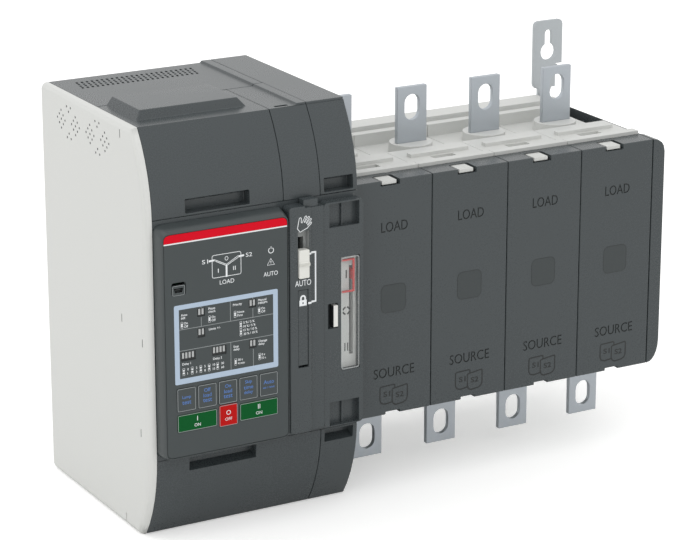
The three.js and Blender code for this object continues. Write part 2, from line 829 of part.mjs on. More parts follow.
function indicatorPanel() {
  const half = indicatorHeight / 2;
  const body = prismY(
    roundedRectangle(indicatorLeft, mechanismRight, -half, half, 3),
    indicatorFront,
    panelBack,
  );
  const [windowLeft, windowRight, low, high] = windowBounds;
  const opening = box(windowLeft, windowRight, indicatorFront - 1, labelFront, low, high);
  const pockets = [];
  for (const [zLow, zHigh] of [
    [half - 18.6, half - 1.2],
    [-half + 0.6, -half + 18.6],
  ]) {
    const [left, right] = [indicatorLeft + 4.7, indicatorLeft + 28.9];
    pockets.push(box(left, right, indicatorFront - 1, indicatorFront + 3.5, zLow, zHigh));
    for (const xLow of [left, left + 12.7]) {
      pockets.push(box(xLow, xLow + 11.5, indicatorFront - 1, indicatorFront + 5.5, zLow, zHigh));
    }
  }
  const slot = box(
    interlockSlot.left,
    interlockSlot.right,
    indicatorFront - 1,
    indicatorFront + 6,
    interlockSlot.low,
    interlockSlot.high,
  );
  const cutters = [opening, ...pockets, slot, pointerSlot(labelFront - 1, panelBack + 1)];
  add("indicator_panel", cutAll(body, cutters), "darkPlastic");
}

function indicatorWindow() {
  const [left, right, low, high] = windowBounds;
  const pane = box(left + gap, right - gap, windowFront, windowBack, low + gap, high - gap);
  add("indicator_window", pane, "clear");
}

function interlockTab() {
  const tab = box(
    interlockSlot.left + 4.2,
    interlockSlot.right - gap,
    indicatorFront - 0.6,
    indicatorFront + 6 - gap,
    interlockSlot.low + 1,
    interlockSlot.high - 1.6,
  );
  add("interlock_tab", tab, "whitePlastic");
}

// ---- drive -------------------------------------------------------------------------------

const gearRight = frameRight - frameSheet - 2;
const gearLeft = gearRight - gearThickness;
const backlash = 0.12;

function involute(base, radius) {
  const ratio = Math.sqrt(Math.max(0, (radius * radius) / (base * base) - 1));
  return ratio - Math.atan(ratio);
}

// The outline of a spur gear with involute flanks, with a tooth or a gap pointing at `start`.
function gearOutline(teeth, start) {
  const pressure = (20 * Math.PI) / 180;
  const pitch = (toothModule * teeth) / 2;
  const base = pitch * Math.cos(pressure);
  const tip = pitch + 0.95 * toothModule;
  const foot = pitch - 1.25 * toothModule;
  const halfTooth = Math.PI / (2 * teeth) - backlash / pitch;
  const flank = [Math.max(base, foot), pitch, (pitch + tip) / 2, tip];
  const halfAngle = (radius) => halfTooth + involute(base, pitch) - involute(base, radius);
  const points = [];
  for (let tooth = 0; tooth < teeth; tooth += 1) {
    const middle = start + (2 * Math.PI * tooth) / teeth;
    const rootAngle = halfAngle(flank[0]);
    const rising = [[foot, -rootAngle], ...flank.map((radius) => [radius, -halfAngle(radius)])];
    const falling = rising.map(([radius, angle]) => [radius, -angle]).reverse();
    for (const [radius, angle] of [...rising, ...falling]) {
      points.push([
        shaftY + radius * Math.cos(middle + angle),
        radius * Math.sin(middle + angle),
      ]);
    }
  }
  return points;
}

function moved(points, z) {
  return points.map(([u, v]) => [u, v + z]);
}

// The gear points a tooth straight forward at the rack, and so one straight up at the pinion.
function driveGear() {
  const disc = prismX(gearOutline(gearTeeth, Math.PI), gearLeft, gearRight);
  const bore = prismX(circle(shaftY, 0, shaftRadius + gap, 24), gearLeft - 1, gearRight + 1);
  add("drive_gear", disc.subtract(bore), "bareSteel");
}

function motorPinion() {
  const centre = gearRadius + pinionRadius;
  const halfTooth = Math.PI / pinionTeeth;
  const teeth = prismX(
    moved(gearOutline(pinionTeeth, -Math.PI / 2 + halfTooth), centre),
    gearLeft - 0.5,
    gearRight + 0.5,
  );
  const spindle = prismX(circle(shaftY, centre, 4, 12), frameLeft - 3, gearLeft);
  add("motor_pinion", teeth.add(spindle), "bareSteel");
}

function driveMotor() {
  const centre = gearRadius + pinionRadius;
  const right = frameLeft - gap;
  const gearbox = prismX(circle(shaftY, centre, 26, 24), right - 28, right);
  const can = prismX(circle(shaftY, centre, 21, 24), right - 90, right - 28);
  const bore = prismX(circle(shaftY, centre, 4.3, 12), right - 4, right + 1);
  add("drive_motor", gearbox.add(can).subtract(bore), "motorBlack");
}

function mainShaft() {
  const shaft = prismX(circle(shaftY, 0, shaftRadius, 24), frameLeft - 4, rowRight + 4);
  add("main_shaft", shaft, "bareSteel");
}

// The position pointer: a rack that the drive gear moves, an arm through the fascia, and the
// frame that shows through the window. It stands at mark I, and goes down to mark II.
function positionPointer() {
  const rackLeft = gearLeft;
  const rackRight = gearRight;
  const pitchLine = shaftY - gearRadius;
  const toothPitch = Math.PI * toothModule;
  const toothCount = 13;
  const firstTooth = -toothPitch * 1.5;
  const slope = Math.tan((20 * Math.PI) / 180);
  const addendum = 0.95 * toothModule;
  const dedendum = 1.25 * toothModule;
  const bar = pitchLine - dedendum;
  const outline = [[bar - 6, firstTooth - toothPitch / 2]];
  outline.push([bar, firstTooth - toothPitch / 2]);
  for (let tooth = 0; tooth < toothCount; tooth += 1) {
    const middle = firstTooth + tooth * toothPitch;
    const half = toothPitch / 4 - backlash;
    outline.push([bar, middle - half - dedendum * slope]);
    outline.push([pitchLine + addendum, middle - half + addendum * slope]);
    outline.push([pitchLine + addendum, middle + half - addendum * slope]);
    outline.push([bar, middle + half + dedendum * slope]);
  }
  const end = firstTooth + (toothCount - 0.5) * toothPitch;
  outline.push([bar, end], [bar - 6, end]);
  const rack = prismX(outline, rackLeft, rackRight);
  const low = indicatorMark - 4;
  const high = indicatorMark + 4;
  const armBack = bar - 5;
  const crossFront = fasciaBack + 4;
  const arm = box(rackLeft, rackRight, crossFront, armBack, low, high);
  const cross = box(rackLeft, pointer.right, crossFront, crossFront + 4, low, high);
  const frameFront = windowBack + 0.6;
  const frameBack = frameFront + 1.5;
  const finger = box(pointer.armLeft, pointer.right, frameFront, crossFront + 1, low, high);
  const frame = box(
    pointer.left,
    pointer.right,
    frameFront,
    frameBack,
    indicatorMark - 12.5,
    indicatorMark + 12.5,
  );
  const view = box(
    pointer.left - 1,
    pointer.right - 1.3,
    frameFront - 1,
    frameBack + 0.01,
    indicatorMark - 11.2,
    indicatorMark + 11.2,
  );
  add("position_pointer", joinAll([rack, arm, cross, finger, frame.subtract(view)]), "keyRed");
}

// ---- poles -------------------------------------------------------------------------------

const chamberWidth = 36;
const loadFront = shaftY - terminalThickness / 2;
const collarRadius = terminalWidth / 2 + 3.6;

// The cut for a terminal: its own cross-section with clearance all round.
function terminalSlot(middle, yFront, zLow, zHigh) {
  const half = terminalWidth / 2 + gap;
  const yLow = yFront - gap;
  return box(middle - half, middle + half, yLow, yFront + terminalThickness + gap, zLow, zHigh);
}

function sourceFronts() {
  const half = terminalThickness / 2;
  return [shaftY - sourceOffset - half, shaftY + sourceOffset - half];
}

const fingerHeight = -(armReach * Math.SQRT1_2) - terminalThickness / 2;
const fingerInset = armReach * Math.SQRT1_2 + 4.6;

function poleHousing(index) {
  const left = index * polePitch + gap / 2;
  const right = (index + 1) * polePitch - gap / 2;
  const middle = (left + right) / 2;
  const block = box(left, right, housingFront, housingBack, -rowTop, rowTop);
  const troughFront = housingFront + 47;
  const troughBack = shaftY + 29;
  const floor = rowTop - troughDepth;
  const trough = box(left - 1, right + 1, troughFront, troughBack, floor, rowTop + 1);
  const lowTrough = box(left - 1, right + 1, troughFront, troughBack, -rowTop - 1, -floor);
  const collar = solid(
    new THREE.CylinderGeometry(collarRadius, collarRadius + 0.6, troughDepth + 1, 24)
      .rotateX(Math.PI / 2)
      .translate(middle, shaftY, rowTop - (troughDepth + 1) / 2),
  );
  const barHalf = 25;
  const barFront = housingFront + 24;
  const base = rowTop - 1;
  const rails = [
    box(left, right, housingFront, housingFront + 8, base, rowTop + 2.5),
    box(middle - barHalf, middle + barHalf, barFront, barFront + 6, base, rowTop + 2.8),
    box(left, right, troughBack, troughBack + 8, base, rowTop + 2),
    box(left + 2, right - 2, troughBack + 12, troughBack + 20, base, rowTop + 4.5),
  ];
  const shelfSlot = box(middle - 9.5, middle + 9.5, barFront - 9, barFront - 1.5, rowTop - 3.5, rowTop + 1);
  const latchMiddle = left + latchOffset;
  const latchSides = [latchMiddle - latchWidth / 2, latchMiddle + latchWidth / 2];
  const latch = box(...latchSides, -(rowDepth - 1.5), housingFront + 1, rowTop - 3.4, rowTop - 0.6);
  const chamberSides = [middle - chamberWidth / 2, middle + chamberWidth / 2];
  const chamber = prismX(circle(shaftY, 0, chamberRadius, 24), ...chamberSides);
  const bore = prismX(circle(shaftY, 0, shaftRadius + 0.5, 24), left - 1, right + 1);
  const sourceSlots = sourceFronts().flatMap((yFront) => {
    const front = yFront < shaftY;
    const inner = front ? shaftY - fingerInset : shaftY + fingerInset;
    const low = Math.min(inner, yFront - gap);
    const high = Math.max(inner, yFront + terminalThickness + gap);
    const half = terminalWidth / 2 + gap;
    const zLow = fingerHeight - gap;
    const zHigh = fingerHeight + terminalThickness + gap;
    return [
      terminalSlot(middle, yFront, -rowTop - 1, zHigh),
      box(middle - half, middle + half, low - 1, high + 1, zLow, zHigh),
    ];
  });
  const loadSlot = terminalSlot(middle, loadFront, shaftRadius, rowTop + 5);
  const body = joinAll([cutAll(block, [trough, lowTrough]), collar, ...rails, latch]);
  const cutters = [shelfSlot, chamber, bore, loadSlot, ...sourceSlots];
  add(`pole_housing_${index + 1}`, cutAll(body, cutters), "whitePlastic");
}

// The dark cover that snaps over the front of a pole. Its top edge has a notch for the
// housing's latch, and its bottom edge a small grip notch.
function poleCover(index) {
  const left = index * polePitch + 0.25;
  const right = (index + 1) * polePitch - 0.25;
  const middle = (left + right) / 2;
  const front = -rowDepth;
  const back = housingFront - gap;
  const outside = box(left, right, front, back, -rowTop, rowTop);
  const inside = box(left + 2.5, right - 2.5, front + wall, back + 1, -rowTop + wall, rowTop - wall);
  const padOutline = roundedRectangle(middle - 10.5, middle + 10.5, -14.7, 11.7, 2.5);
  const pad = prismY(padOutline, front - 1, front + 0.8);
  const latchMiddle = index * polePitch + gap / 2 + latchOffset;
  const notchHalf = latchWidth / 2 + 2;
  const slotHalf = latchWidth / 2 + 0.4;
  const notchSides = [latchMiddle - notchHalf, latchMiddle + notchHalf];
  const slotSides = [latchMiddle - slotHalf, latchMiddle + slotHalf];
  const notch = box(...notchSides, front - 1, back - 6, rowTop - 4, rowTop + 1);
  const slot = box(...slotSides, front + 1, back + 1, rowTop - 3.8, rowTop - 0.3);
  const bottomNotch = box(middle - 6, middle + 6, front - 1, front + 8, -rowTop - 1, -rowTop + 2.2);
  add(`pole_cover_${index + 1}`, cutAll(outside, [inside, pad, notch, slot, bottomNotch]), "darkPlastic");
}

// The slotted hole in a terminal's end, running along Z.
function terminalHole(middle, zMiddle, yFront) {
  const outline = roundedRectangle(
    middle - slotWidth / 2,
    middle + slotWidth / 2,
    zMiddle - slotLength / 2,
    zMiddle + slotLength / 2,
    slotWidth / 2 - 0.01,
    4,
  );
  return prismY(outline, yFront - 1, yFront + terminalThickness + 1);
}

// A terminal's bar: the palm outside the row, and the slightly thinner tongue inside it.
function terminalBar(middle, yFront, palmHeights, tongueHeights) {
  const sides = [middle - terminalWidth / 2, middle + terminalWidth / 2];
  const yBack = yFront + terminalThickness;
  const palm = box(...sides, yFront, yBack, ...palmHeights);
  const tongue = box(...sides, yFront + tongueStep, yBack - tongueStep, ...tongueHeights);
  return palm.add(tongue);
}

function loadTerminal(index) {
  const middle = (index + 0.5) * polePitch;
  const high = rowTop + terminalReach;
  const low = hubRadius + 0.5;
  const bar = terminalBar(middle, loadFront, [rowTop + collarClear, high], [low, rowTop + collarClear + 1]);
  const hole = terminalHole(middle, high - slotMargin - slotLength / 2, loadFront);
  add(`load_terminal_${index + 1}`, bar.subtract(hole), "tinnedCopper");
}

// A source terminal: a bar that comes up from below, and a finger that turns in to the arm.
function sourceTerminal(index, source) {
  const middle = (index + 0.5) * polePitch;
  const half = terminalWidth / 2;
  const yFront = sourceFronts()[source - 1];
  const low = -(rowTop + sourceReach);
  const high = fingerHeight + terminalThickness;
  const bar = terminalBar(middle, yFront, [low, -(rowTop + 1)], [-(rowTop + 2), high]);
  const inner = source === 1 ? shaftY - fingerInset : shaftY + fingerInset;
  const outer = source === 1 ? yFront + 1 : yFront + terminalThickness - 1;
  const finger = box(
    middle - half,
    middle + half,
    Math.min(inner, outer),
    Math.max(inner, outer),
    fingerHeight,
    high,
  );
  const hole = terminalHole(middle, low + slotMargin + slotLength / 2, yFront);
  add(`source${source}_terminal_${index + 1}`, bar.add(finger).subtract(hole), "tinnedCopper");
}

// The contact rotor: a ring on the shaft that stays under the load terminal, with one arm
// that points at source 1 in position I and swings down and back to source 2.
function contactRotor(index) {
  const middle = (index + 0.5) * polePitch;
  const half = 14;
  const armHalf = 5;
  const hub = prismX(circle(shaftY, 0, hubRadius, 24), middle - half, middle + half);
  const arm = prismX(
    [
      [-armReach, -armHalf],
      [0, -armHalf],
      [0, armHalf],
      [-armReach, armHalf],
    ],
    middle - half,
    middle + half,
  );
  const turned = arm.rotate([45, 0, 0]).translate([0, shaftY, 0]);
  const bore = prismX(circle(shaftY, 0, shaftRadius + gap, 24), middle - half - 1, middle + half + 1);
  add(`contact_rotor_${index + 1}`, hub.add(turned).subtract(bore), "copper");
}

// The end cover closes the last pole: an outer wall with round corners, a front wall and
// ribs inside. Its top is open behind the front, as the trough of the last pole is.
function endCover() {
  const left = rowRight + gap;
  const right = rowRight + endCoverWidth;
  const corner = endCoverWidth - 0.5;
  const silhouette = [
    ...arc(right - corner, rowTop - corner, corner, 0, Math.PI / 2, 4),
    [left, rowTop],
    [left, -rowTop],
    ...arc(0, 0, 1, -Math.PI / 2, 0, 6).map(([u, v]) => [
      right - corner + u * corner,
      -rowTop + endCoverFootRadius + v * endCoverFootRadius,
    ]),
  ];
  const body = prismY(silhouette, -rowDepth, -gap - baseThickness - 0.5);
  const inside = box(left - 1, right - wall, -rowDepth + wall, 0, -rowTop + wall, rowTop - wall);
  const openTop = box(left - 1, right - wall, housingFront, 0, 0, rowTop + 1);
  const ribs = [-120, -90, -60, -30].map((y) => {
    return box(right - wall - 1.2, right - 1, y, y + 1.5, -60, rowTop - 10);
  });
  add("end_cover", joinAll([cutAll(body, [inside, openTop]), ...ribs]), "darkPlastic");
}

// ---- assembly ----------------------------------------------------------------------------

sidePlate();
upperCover();
lowerCover();
topPlate();
middleCover();
bottomPlate();
terminalCover("upper_terminal_cover", true);
terminalCover("lower_terminal_cover", false);
frontFascia();
mechanismFrame();
mountingPlates();
controllerCase();
controllerFace();
keys();
controlBoard();
operatorPanel();
modeSlider();
padlockSlide();
releaseTabPiece();
indicatorPanel();
indicatorWindow();
interlockTab();
driveGear();
motorPinion();
driveMotor();
mainShaft();
positionPointer();
for (let index = 0; index < poleCount; index += 1) {
  poleHousing(index);
  poleCover(index);
  loadTerminal(index);
  sourceTerminal(index, 1);
  sourceTerminal(index, 2);
  contactRotor(index);
}
endCover();

export default root;
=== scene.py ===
import math

import bpy
from mathutils import Matrix, Vector


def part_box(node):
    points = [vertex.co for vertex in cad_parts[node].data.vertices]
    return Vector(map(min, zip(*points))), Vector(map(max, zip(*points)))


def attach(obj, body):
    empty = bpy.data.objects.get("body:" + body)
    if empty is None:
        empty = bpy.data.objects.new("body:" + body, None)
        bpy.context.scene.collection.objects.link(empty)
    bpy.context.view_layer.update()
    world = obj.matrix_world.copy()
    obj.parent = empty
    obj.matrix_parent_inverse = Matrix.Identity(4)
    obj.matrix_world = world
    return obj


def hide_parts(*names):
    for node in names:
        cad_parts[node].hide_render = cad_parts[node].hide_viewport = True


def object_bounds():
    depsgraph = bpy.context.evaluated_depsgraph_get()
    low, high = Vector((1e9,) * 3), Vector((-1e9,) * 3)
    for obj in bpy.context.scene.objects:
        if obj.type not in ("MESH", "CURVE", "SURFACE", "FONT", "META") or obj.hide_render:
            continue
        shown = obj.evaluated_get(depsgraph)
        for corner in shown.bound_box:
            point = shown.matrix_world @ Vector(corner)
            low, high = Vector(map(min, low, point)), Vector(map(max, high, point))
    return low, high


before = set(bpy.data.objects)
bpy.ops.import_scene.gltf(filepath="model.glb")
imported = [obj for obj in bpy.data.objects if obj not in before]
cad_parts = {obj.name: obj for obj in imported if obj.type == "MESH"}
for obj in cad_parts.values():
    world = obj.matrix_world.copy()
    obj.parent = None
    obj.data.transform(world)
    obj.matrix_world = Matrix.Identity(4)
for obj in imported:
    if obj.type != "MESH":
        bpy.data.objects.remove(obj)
cad_low, cad_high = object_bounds()
MM = 0.001


# ---- camera, light and floor --------------------------------------------------------------
# A long lens looks at the switch from the left of its front and a little above.

camera_azimuth = math.radians(-29.5)
camera_elevation = math.radians(17.54)
camera_distance = 2.116
camera_aim = Vector((0.037, -0.090, 0.0))
camera_back = Vector((
    math.sin(camera_azimuth) * math.cos(camera_elevation),
    -math.cos(camera_azimuth) * math.cos(camera_elevation),
    math.sin(camera_elevation),
))
bpy.ops.object.camera_add(location=camera_aim + camera_back * camera_distance)
camera = bpy.context.object
camera.rotation_mode = "QUATERNION"
camera.rotation_quaternion = (-camera_back).to_track_quat("-Z", "Y")
camera.data.lens = 145.84
camera.data.sensor_width = 36
camera.data.clip_end = 30
bpy.context.scene.camera = camera


# The studio is a white tent that lights the switch evenly from every side. A broad, weak
# sun above its front left gives the light a little direction.
world = bpy.data.worlds.new("white_tent")
bpy.context.scene.world = world
world.use_nodes = True
tent = world.node_tree.nodes["Background"]
tent.inputs["Color"].default_value = (1, 1, 1, 1)
tent.inputs["Strength"].default_value = 1.0
sun_direction = Vector((-0.35, -0.25, 1.0)).normalized()
bpy.ops.object.light_add(type="SUN", location=(0, 0, 3))
sun = bpy.context.object
sun.name = "soft_sun"
sun.rotation_mode = "QUATERNION"
sun.rotation_quaternion = (-sun_direction).to_track_quat("-Z", "Y")
sun.data.energy = 0.35
sun.data.angle = math.radians(60)
bpy.context.scene.view_settings.view_transform = "Standard"


def srgb(red, green, blue):
    """A colour as written on a swatch, 0 to 255, as the linear values that the shader takes."""
    values = [part / 255 for part in (red, green, blue)]
    linear = [v / 12.92 if v <= 0.04045 else ((v + 0.055) / 1.055) ** 2.4 for v in values]
    return (*linear, 1.0)


def node_group(name, inputs, outputs):
    group = bpy.data.node_groups.new(name, "ShaderNodeTree")
    for socket, kind in inputs:
        group.interface.new_socket(socket, in_out="INPUT", socket_type=kind)
    for socket, kind in outputs:
        group.interface.new_socket(socket, in_out="OUTPUT", socket_type=kind)
    return group, group.nodes.new("NodeGroupInput"), group.nodes.new("NodeGroupOutput")


# Fine texture of a moulded or coated surface: soft patches that shift the colour and the
# shine a little, and a fine grain that raises the surface.
def surface_texture():
    group, given, made = node_group(
        "surface_texture",
        [("Light", "NodeSocketColor"), ("Dark", "NodeSocketColor"),
         ("Patch Scale", "NodeSocketFloat"), ("Grain Scale", "NodeSocketFloat"),
         ("Smoothest", "NodeSocketFloat"), ("Roughest", "NodeSocketFloat")],
        [("Color", "NodeSocketColor"), ("Roughness", "NodeSocketFloat"),
         ("Height", "NodeSocketFloat")],
    )
    nodes, links = group.nodes, group.links
    place = nodes.new("ShaderNodeTexCoord")
    patches = nodes.new("ShaderNodeTexNoise")
    patches.inputs["Detail"].default_value = 3
    grain = nodes.new("ShaderNodeTexNoise")
    grain.inputs["Detail"].default_value = 2
    blend = nodes.new("ShaderNodeMath")
    blend.operation = "MULTIPLY_ADD"
    blend.inputs[1].default_value = 0.45
    both = nodes.new("ShaderNodeMath")
    both.operation = "MULTIPLY"
    both.inputs[1].default_value = 0.55
    tint = nodes.new("ShaderNodeMix")
    tint.data_type = "RGBA"
    shine = nodes.new("ShaderNodeMapRange")
    links.new(place.outputs["Object"], patches.inputs["Vector"])
    links.new(place.outputs["Object"], grain.inputs["Vector"])
    links.new(given.outputs["Patch Scale"], patches.inputs["Scale"])
    links.new(given.outputs["Grain Scale"], grain.inputs["Scale"])
    links.new(patches.outputs["Fac"], both.inputs[0])
    links.new(grain.outputs["Fac"], blend.inputs[0])
    links.new(both.outputs[0], blend.inputs[2])
    links.new(blend.outputs[0], tint.inputs["Factor"])
    links.new(given.outputs["Dark"], tint.inputs["A"])
    links.new(given.outputs["Light"], tint.inputs["B"])
    links.new(blend.outputs[0], shine.inputs["Value"])
    links.new(given.outputs["Smoothest"], shine.inputs["To Min"])
    links.new(given.outputs["Roughest"], shine.inputs["To Max"])
    links.new(tint.outputs["Result"], made.inputs["Color"])
    links.new(shine.outputs["Result"], made.inputs["Roughness"])
    links.new(grain.outputs["Fac"], made.inputs["Height"])
    return group


texture_group = surface_texture()


def new_material(name, group, values, bump, **shader_values):
    """A Principled material whose colour, roughness and bump come from a texture group."""
    material = bpy.data.materials.new(name)
    material.use_nodes = True
    nodes, links = material.node_tree.nodes, material.node_tree.links
    shader = nodes["Principled BSDF"]
    texture = nodes.new("ShaderNodeGroup")
    texture.node_tree = group
    for socket, value in values.items():
        texture.inputs[socket].default_value = value
    relief = nodes.new("ShaderNodeBump")
    relief.inputs["Strength"].default_value = 1
    relief.inputs["Distance"].default_value = bump * MM
    links.new(texture.outputs["Color"], shader.inputs["Base Color"])
    links.new(texture.outputs["Roughness"], shader.inputs["Roughness"])
    links.new(texture.outputs["Height"], relief.inputs["Height"])
    links.new(relief.outputs["Normal"], shader.inputs["Normal"])
    for socket, value in shader_values.items():
        shader.inputs[socket.replace("_", " ")].default_value = value
    return material


def moulded(name, colour, spread=0.06, patch=14, grain=900, rough=(0.5, 0.62), bump=0.012, **more):
    """Moulded or coated material: colour is the swatch, spread how far patches stray from it."""
    light = [min(1, part * (1 + spread)) for part in srgb(*colour)[:3]]
    dark = [part * (1 - spread) for part in srgb(*colour)[:3]]
    values = {
        "Light": (*light, 1), "Dark": (*dark, 1), "Patch Scale": patch, "Grain Scale": grain,
        "Smoothest": rough[0], "Roughest": rough[1],
    }
    return new_material(name, texture_group, values, bump, **more)


# The floor is a pale board, far wider than the picture. It looks a little brighter to the
# camera than the light it throws back, as if it were lit from below.
floor_paint = moulded(
    "floor_paint", (240, 240, 239), spread=0.01, grain=200, rough=(0.85, 0.95),
    Emission_Color=(1, 1, 1, 1),
)
rays = floor_paint.node_tree.nodes.new("ShaderNodeLightPath")
glow = floor_paint.node_tree.nodes.new("ShaderNodeMath")
glow.operation = "MULTIPLY"
glow.inputs[1].default_value = 0.35
floor_paint.node_tree.links.new(rays.outputs["Is Camera Ray"], glow.inputs[0])
floor_shader = floor_paint.node_tree.nodes["Principled BSDF"]
floor_paint.node_tree.links.new(glow.outputs[0], floor_shader.inputs["Emission Strength"])
bpy.ops.object.select_all(action="DESELECT")
bpy.ops.mesh.primitive_plane_add(size=16, location=(0, 0, cad_low.z - 0.0005))
floor = bpy.context.object
floor.name = "floor"
bpy.ops.object.transform_apply(location=True, rotation=True, scale=True)
floor.data.materials.append(floor_paint)


# ---- side plate ---------------------------------------------------------------------------
# The left side of the mechanism is a folded steel plate with an off-white powder coat. Its
# outer edge is rolled over, and vent holes and a few slots are punched through it.

side_paint = moulded("side_paint", (213, 214, 211), spread=0.015, grain=500, rough=(0.36, 0.46))


def edit_mode(piece):
    bpy.ops.object.select_all(action="DESELECT")
    piece.select_set(True)
    bpy.context.view_layer.objects.active = piece
    bpy.ops.object.mode_set(mode="EDIT")


def object_mode():
    bpy.ops.object.mode_set(mode="OBJECT")


def cad_copy(node, name, quads=False):
    """A new piece in the shape of a CAD part, with its loose triangles merged and cut afresh."""
    piece = bpy.data.objects.new(name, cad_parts[node].data.copy())
    bpy.context.collection.objects.link(piece)
    piece.data.materials.clear()
    edit_mode(piece)
    bpy.ops.mesh.customdata_custom_splitnormals_clear()
    bpy.ops.mesh.select_all(action="SELECT")
    bpy.ops.mesh.remove_doubles(threshold=0.002 * MM)
    bpy.ops.mesh.dissolve_limited(angle_limit=math.radians(0.4))
    bpy.ops.mesh.quads_convert_to_tris(quad_method="BEAUTY", ngon_method="BEAUTY")
    if quads:
        bpy.ops.mesh.tris_convert_to_quads(
            face_threshold=math.radians(1), shape_threshold=math.radians(180)
        )
    object_mode()
    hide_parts(node)
    return piece


def apply_modifier(piece, kind, **settings):
    modifier = piece.modifiers.new(kind.lower(), kind)
    for setting, value in settings.items():
        setattr(modifier, setting, value)
    bpy.ops.object.select_all(action="DESELECT")
    piece.select_set(True)
    bpy.context.view_layer.objects.active = piece
    bpy.ops.object.modifier_apply(modifier=modifier.name)


def soften_edges(piece, width, segments=2):
    """Every sharp edge of a piece gets a small radius, in millimetres."""
    apply_modifier(
        piece, "BEVEL", width=width * MM, segments=segments, limit_method="ANGLE",
        angle_limit=math.radians(38), use_clamp_overlap=False, miter_outer="MITER_ARC",
    )


def shade(piece, angle=34):
    """Curved faces shade smoothly, and flat faces stay flat right up to their soft edges."""
    bpy.ops.object.select_all(action="DESELECT")
    piece.select_set(True)
    bpy.context.view_layer.objects.active = piece
    bpy.ops.object.shade_smooth_by_angle(angle=math.radians(angle))
    apply_modifier(piece, "WEIGHTED_NORMAL", keep_sharp=True, weight=80)


def round_edges(piece, width, segments=2):
    soften_edges(piece, width, segments)
    shade(piece)


def round_outline(piece, axis, level, width, segments=4):
    """The outer edge of the flat face at one level along an axis gets a larger radius."""
    across = [side for side in range(3) if side != axis]
    vertices = piece.data.vertices
    flat_faces = [
        face for face in piece.data.polygons
        if abs(face.center[axis] - level) < 0.02 * MM and abs(face.normal[axis]) > 0.99
    ]
    uses = {}
    for face in flat_faces:
        for key in face.edge_keys:
            uses[key] = uses.get(key, 0) + 1
    flat = {index for key in uses for index in key}
    outline = set()
    for step in range(720):
        turn = math.radians(step / 2)
        reach = {
            index: vertices[index].co[across[0]] * math.cos(turn)
            + vertices[index].co[across[1]] * math.sin(turn)
            for index in flat
        }
        furthest = max(reach.values())
        outline.update(index for index in flat if reach[index] > furthest - 0.03 * MM)
    edit_mode(piece)
    bpy.ops.mesh.select_mode(type="EDGE")
    bpy.ops.mesh.select_all(action="DESELECT")
    object_mode()
    for edge in piece.data.edges:
        edge.select = uses.get(edge.key) == 1 and outline.issuperset(edge.vertices)
    edit_mode(piece)
    bpy.ops.mesh.bevel(
        offset=width * MM, segments=segments, affect="EDGES", clamp_overlap=False
    )
    object_mode()


def finish_piece(piece, material, body="housing"):
    if material:
        piece.data.materials.clear()
        piece.data.materials.append(material)
    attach(piece, body)
    return piece


def block(name, x_range, y_range, z_range):
    """A box between three pairs of limits in millimetres, as a start for a small part."""
    middle = [(low + high) / 2 * MM for low, high in (x_range, y_range, z_range)]
    bpy.ops.object.select_all(action="DESELECT")
    bpy.ops.mesh.primitive_cube_add(size=1, location=middle)
    piece = bpy.context.object
    piece.name = name
    piece.scale = [(high - low) * MM for low, high in (x_range, y_range, z_range)]
    bpy.ops.object.transform_apply(location=True, rotation=True, scale=True)
    return piece


def joined(name, pieces):
    bpy.ops.object.select_all(action="DESELECT")
    for piece in pieces:
        piece.select_set(True)
    bpy.context.view_layer.objects.active = pieces[0]
    if len(pieces) > 1:
        bpy.ops.object.join()
    pieces[0].name = name
    return pieces[0]


side_plate = cad_copy("side_plate", "side_plate_painted")
plate_low, plate_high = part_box("side_plate")
shade(side_plate, angle=62)
finish_piece(side_plate, side_paint)

# A dark block hidden inside the plate shows through the holes and slots: painted shade for the hollows
# behind them. y range and z range of each piece.
hole_shade_black = moulded("hole_shade_black", (40, 44, 45), spread=0.05, grain=900, rough=(0.5, 0.6))
hole_shade_depths = (plate_low.x / MM + 0.15, plate_high.x / MM - 0.3)
hole_shade_places = [
    ((-135, -26), (117, 145.8)), ((-159, -155), (-75, -65)), ((-164.5, -160.5), (-7, 4)),
    ((-131.5, -127.5), (2, 13)),
]
vent_hole_shade = joined("vent_hole_shade", [
    block("hole_shade_block", hole_shade_depths, y_range, z_range) for y_range, z_range in hole_shade_places
])
finish_piece(vent_hole_shade, hole_shade_black)


# ---- dark covers of the mechanism ---------------------------------------------------------
# Upper, middle and lower cover, top and bottom plates and both terminal covers are moulded
# in dark grey plastic with a fine spark texture, and snap or slide together.

dark_plastic = moulded("dark_plastic", (63, 69, 71), spread=0.035, grain=1100, rough=(0.24, 0.31))

for node, edge in [
    ("upper_cover", 0.7), ("middle_cover", 0.5), ("lower_cover", 0.7), ("top_plate", 0.25),
    ("bottom_plate", 0.5), ("upper_terminal_cover", 0.6), ("lower_terminal_cover", 0.6),
]:
    cover = cad_copy(node, f"{node}_moulded")
    round_edges(cover, edge)
    finish_piece(cover, dark_plastic)

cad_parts["front_fascia"].data.materials.clear()
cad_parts["front_fascia"].data.materials.append(dark_plastic)

# Thin cross bars split each long vent slot of the top plate into a row of short ones.
top_low, top_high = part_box("top_plate")
vent_left, vent_right = top_low.x + 9 * MM, top_high.x - 9 * MM
vent_front, vent_rear = top_high.y - 30.7 * MM, top_high.y - 11.7 * MM
vent_middle = (vent_left + vent_right) / 2
bar_count = 3
bar_width = 2.0
bar_height = 2.45
for index in range(1, bar_count + 1):
    y = vent_front + (vent_rear - vent_front) * index / (bar_count + 1)
    bpy.ops.object.select_all(action="DESELECT")
    bpy.ops.mesh.primitive_cube_add(size=1, location=(vent_middle, y, top_low.z + 1.75 * MM))
    bar = bpy.context.object
    bar.name = f"vent_bar_{index}"
    bar.scale = (vent_right - vent_left, bar_width * MM, bar_height * MM)
    bpy.ops.object.transform_apply(location=True, rotation=True, scale=True)
    round_edges(bar, 0.15, segments=1)
    finish_piece(bar, dark_plastic)


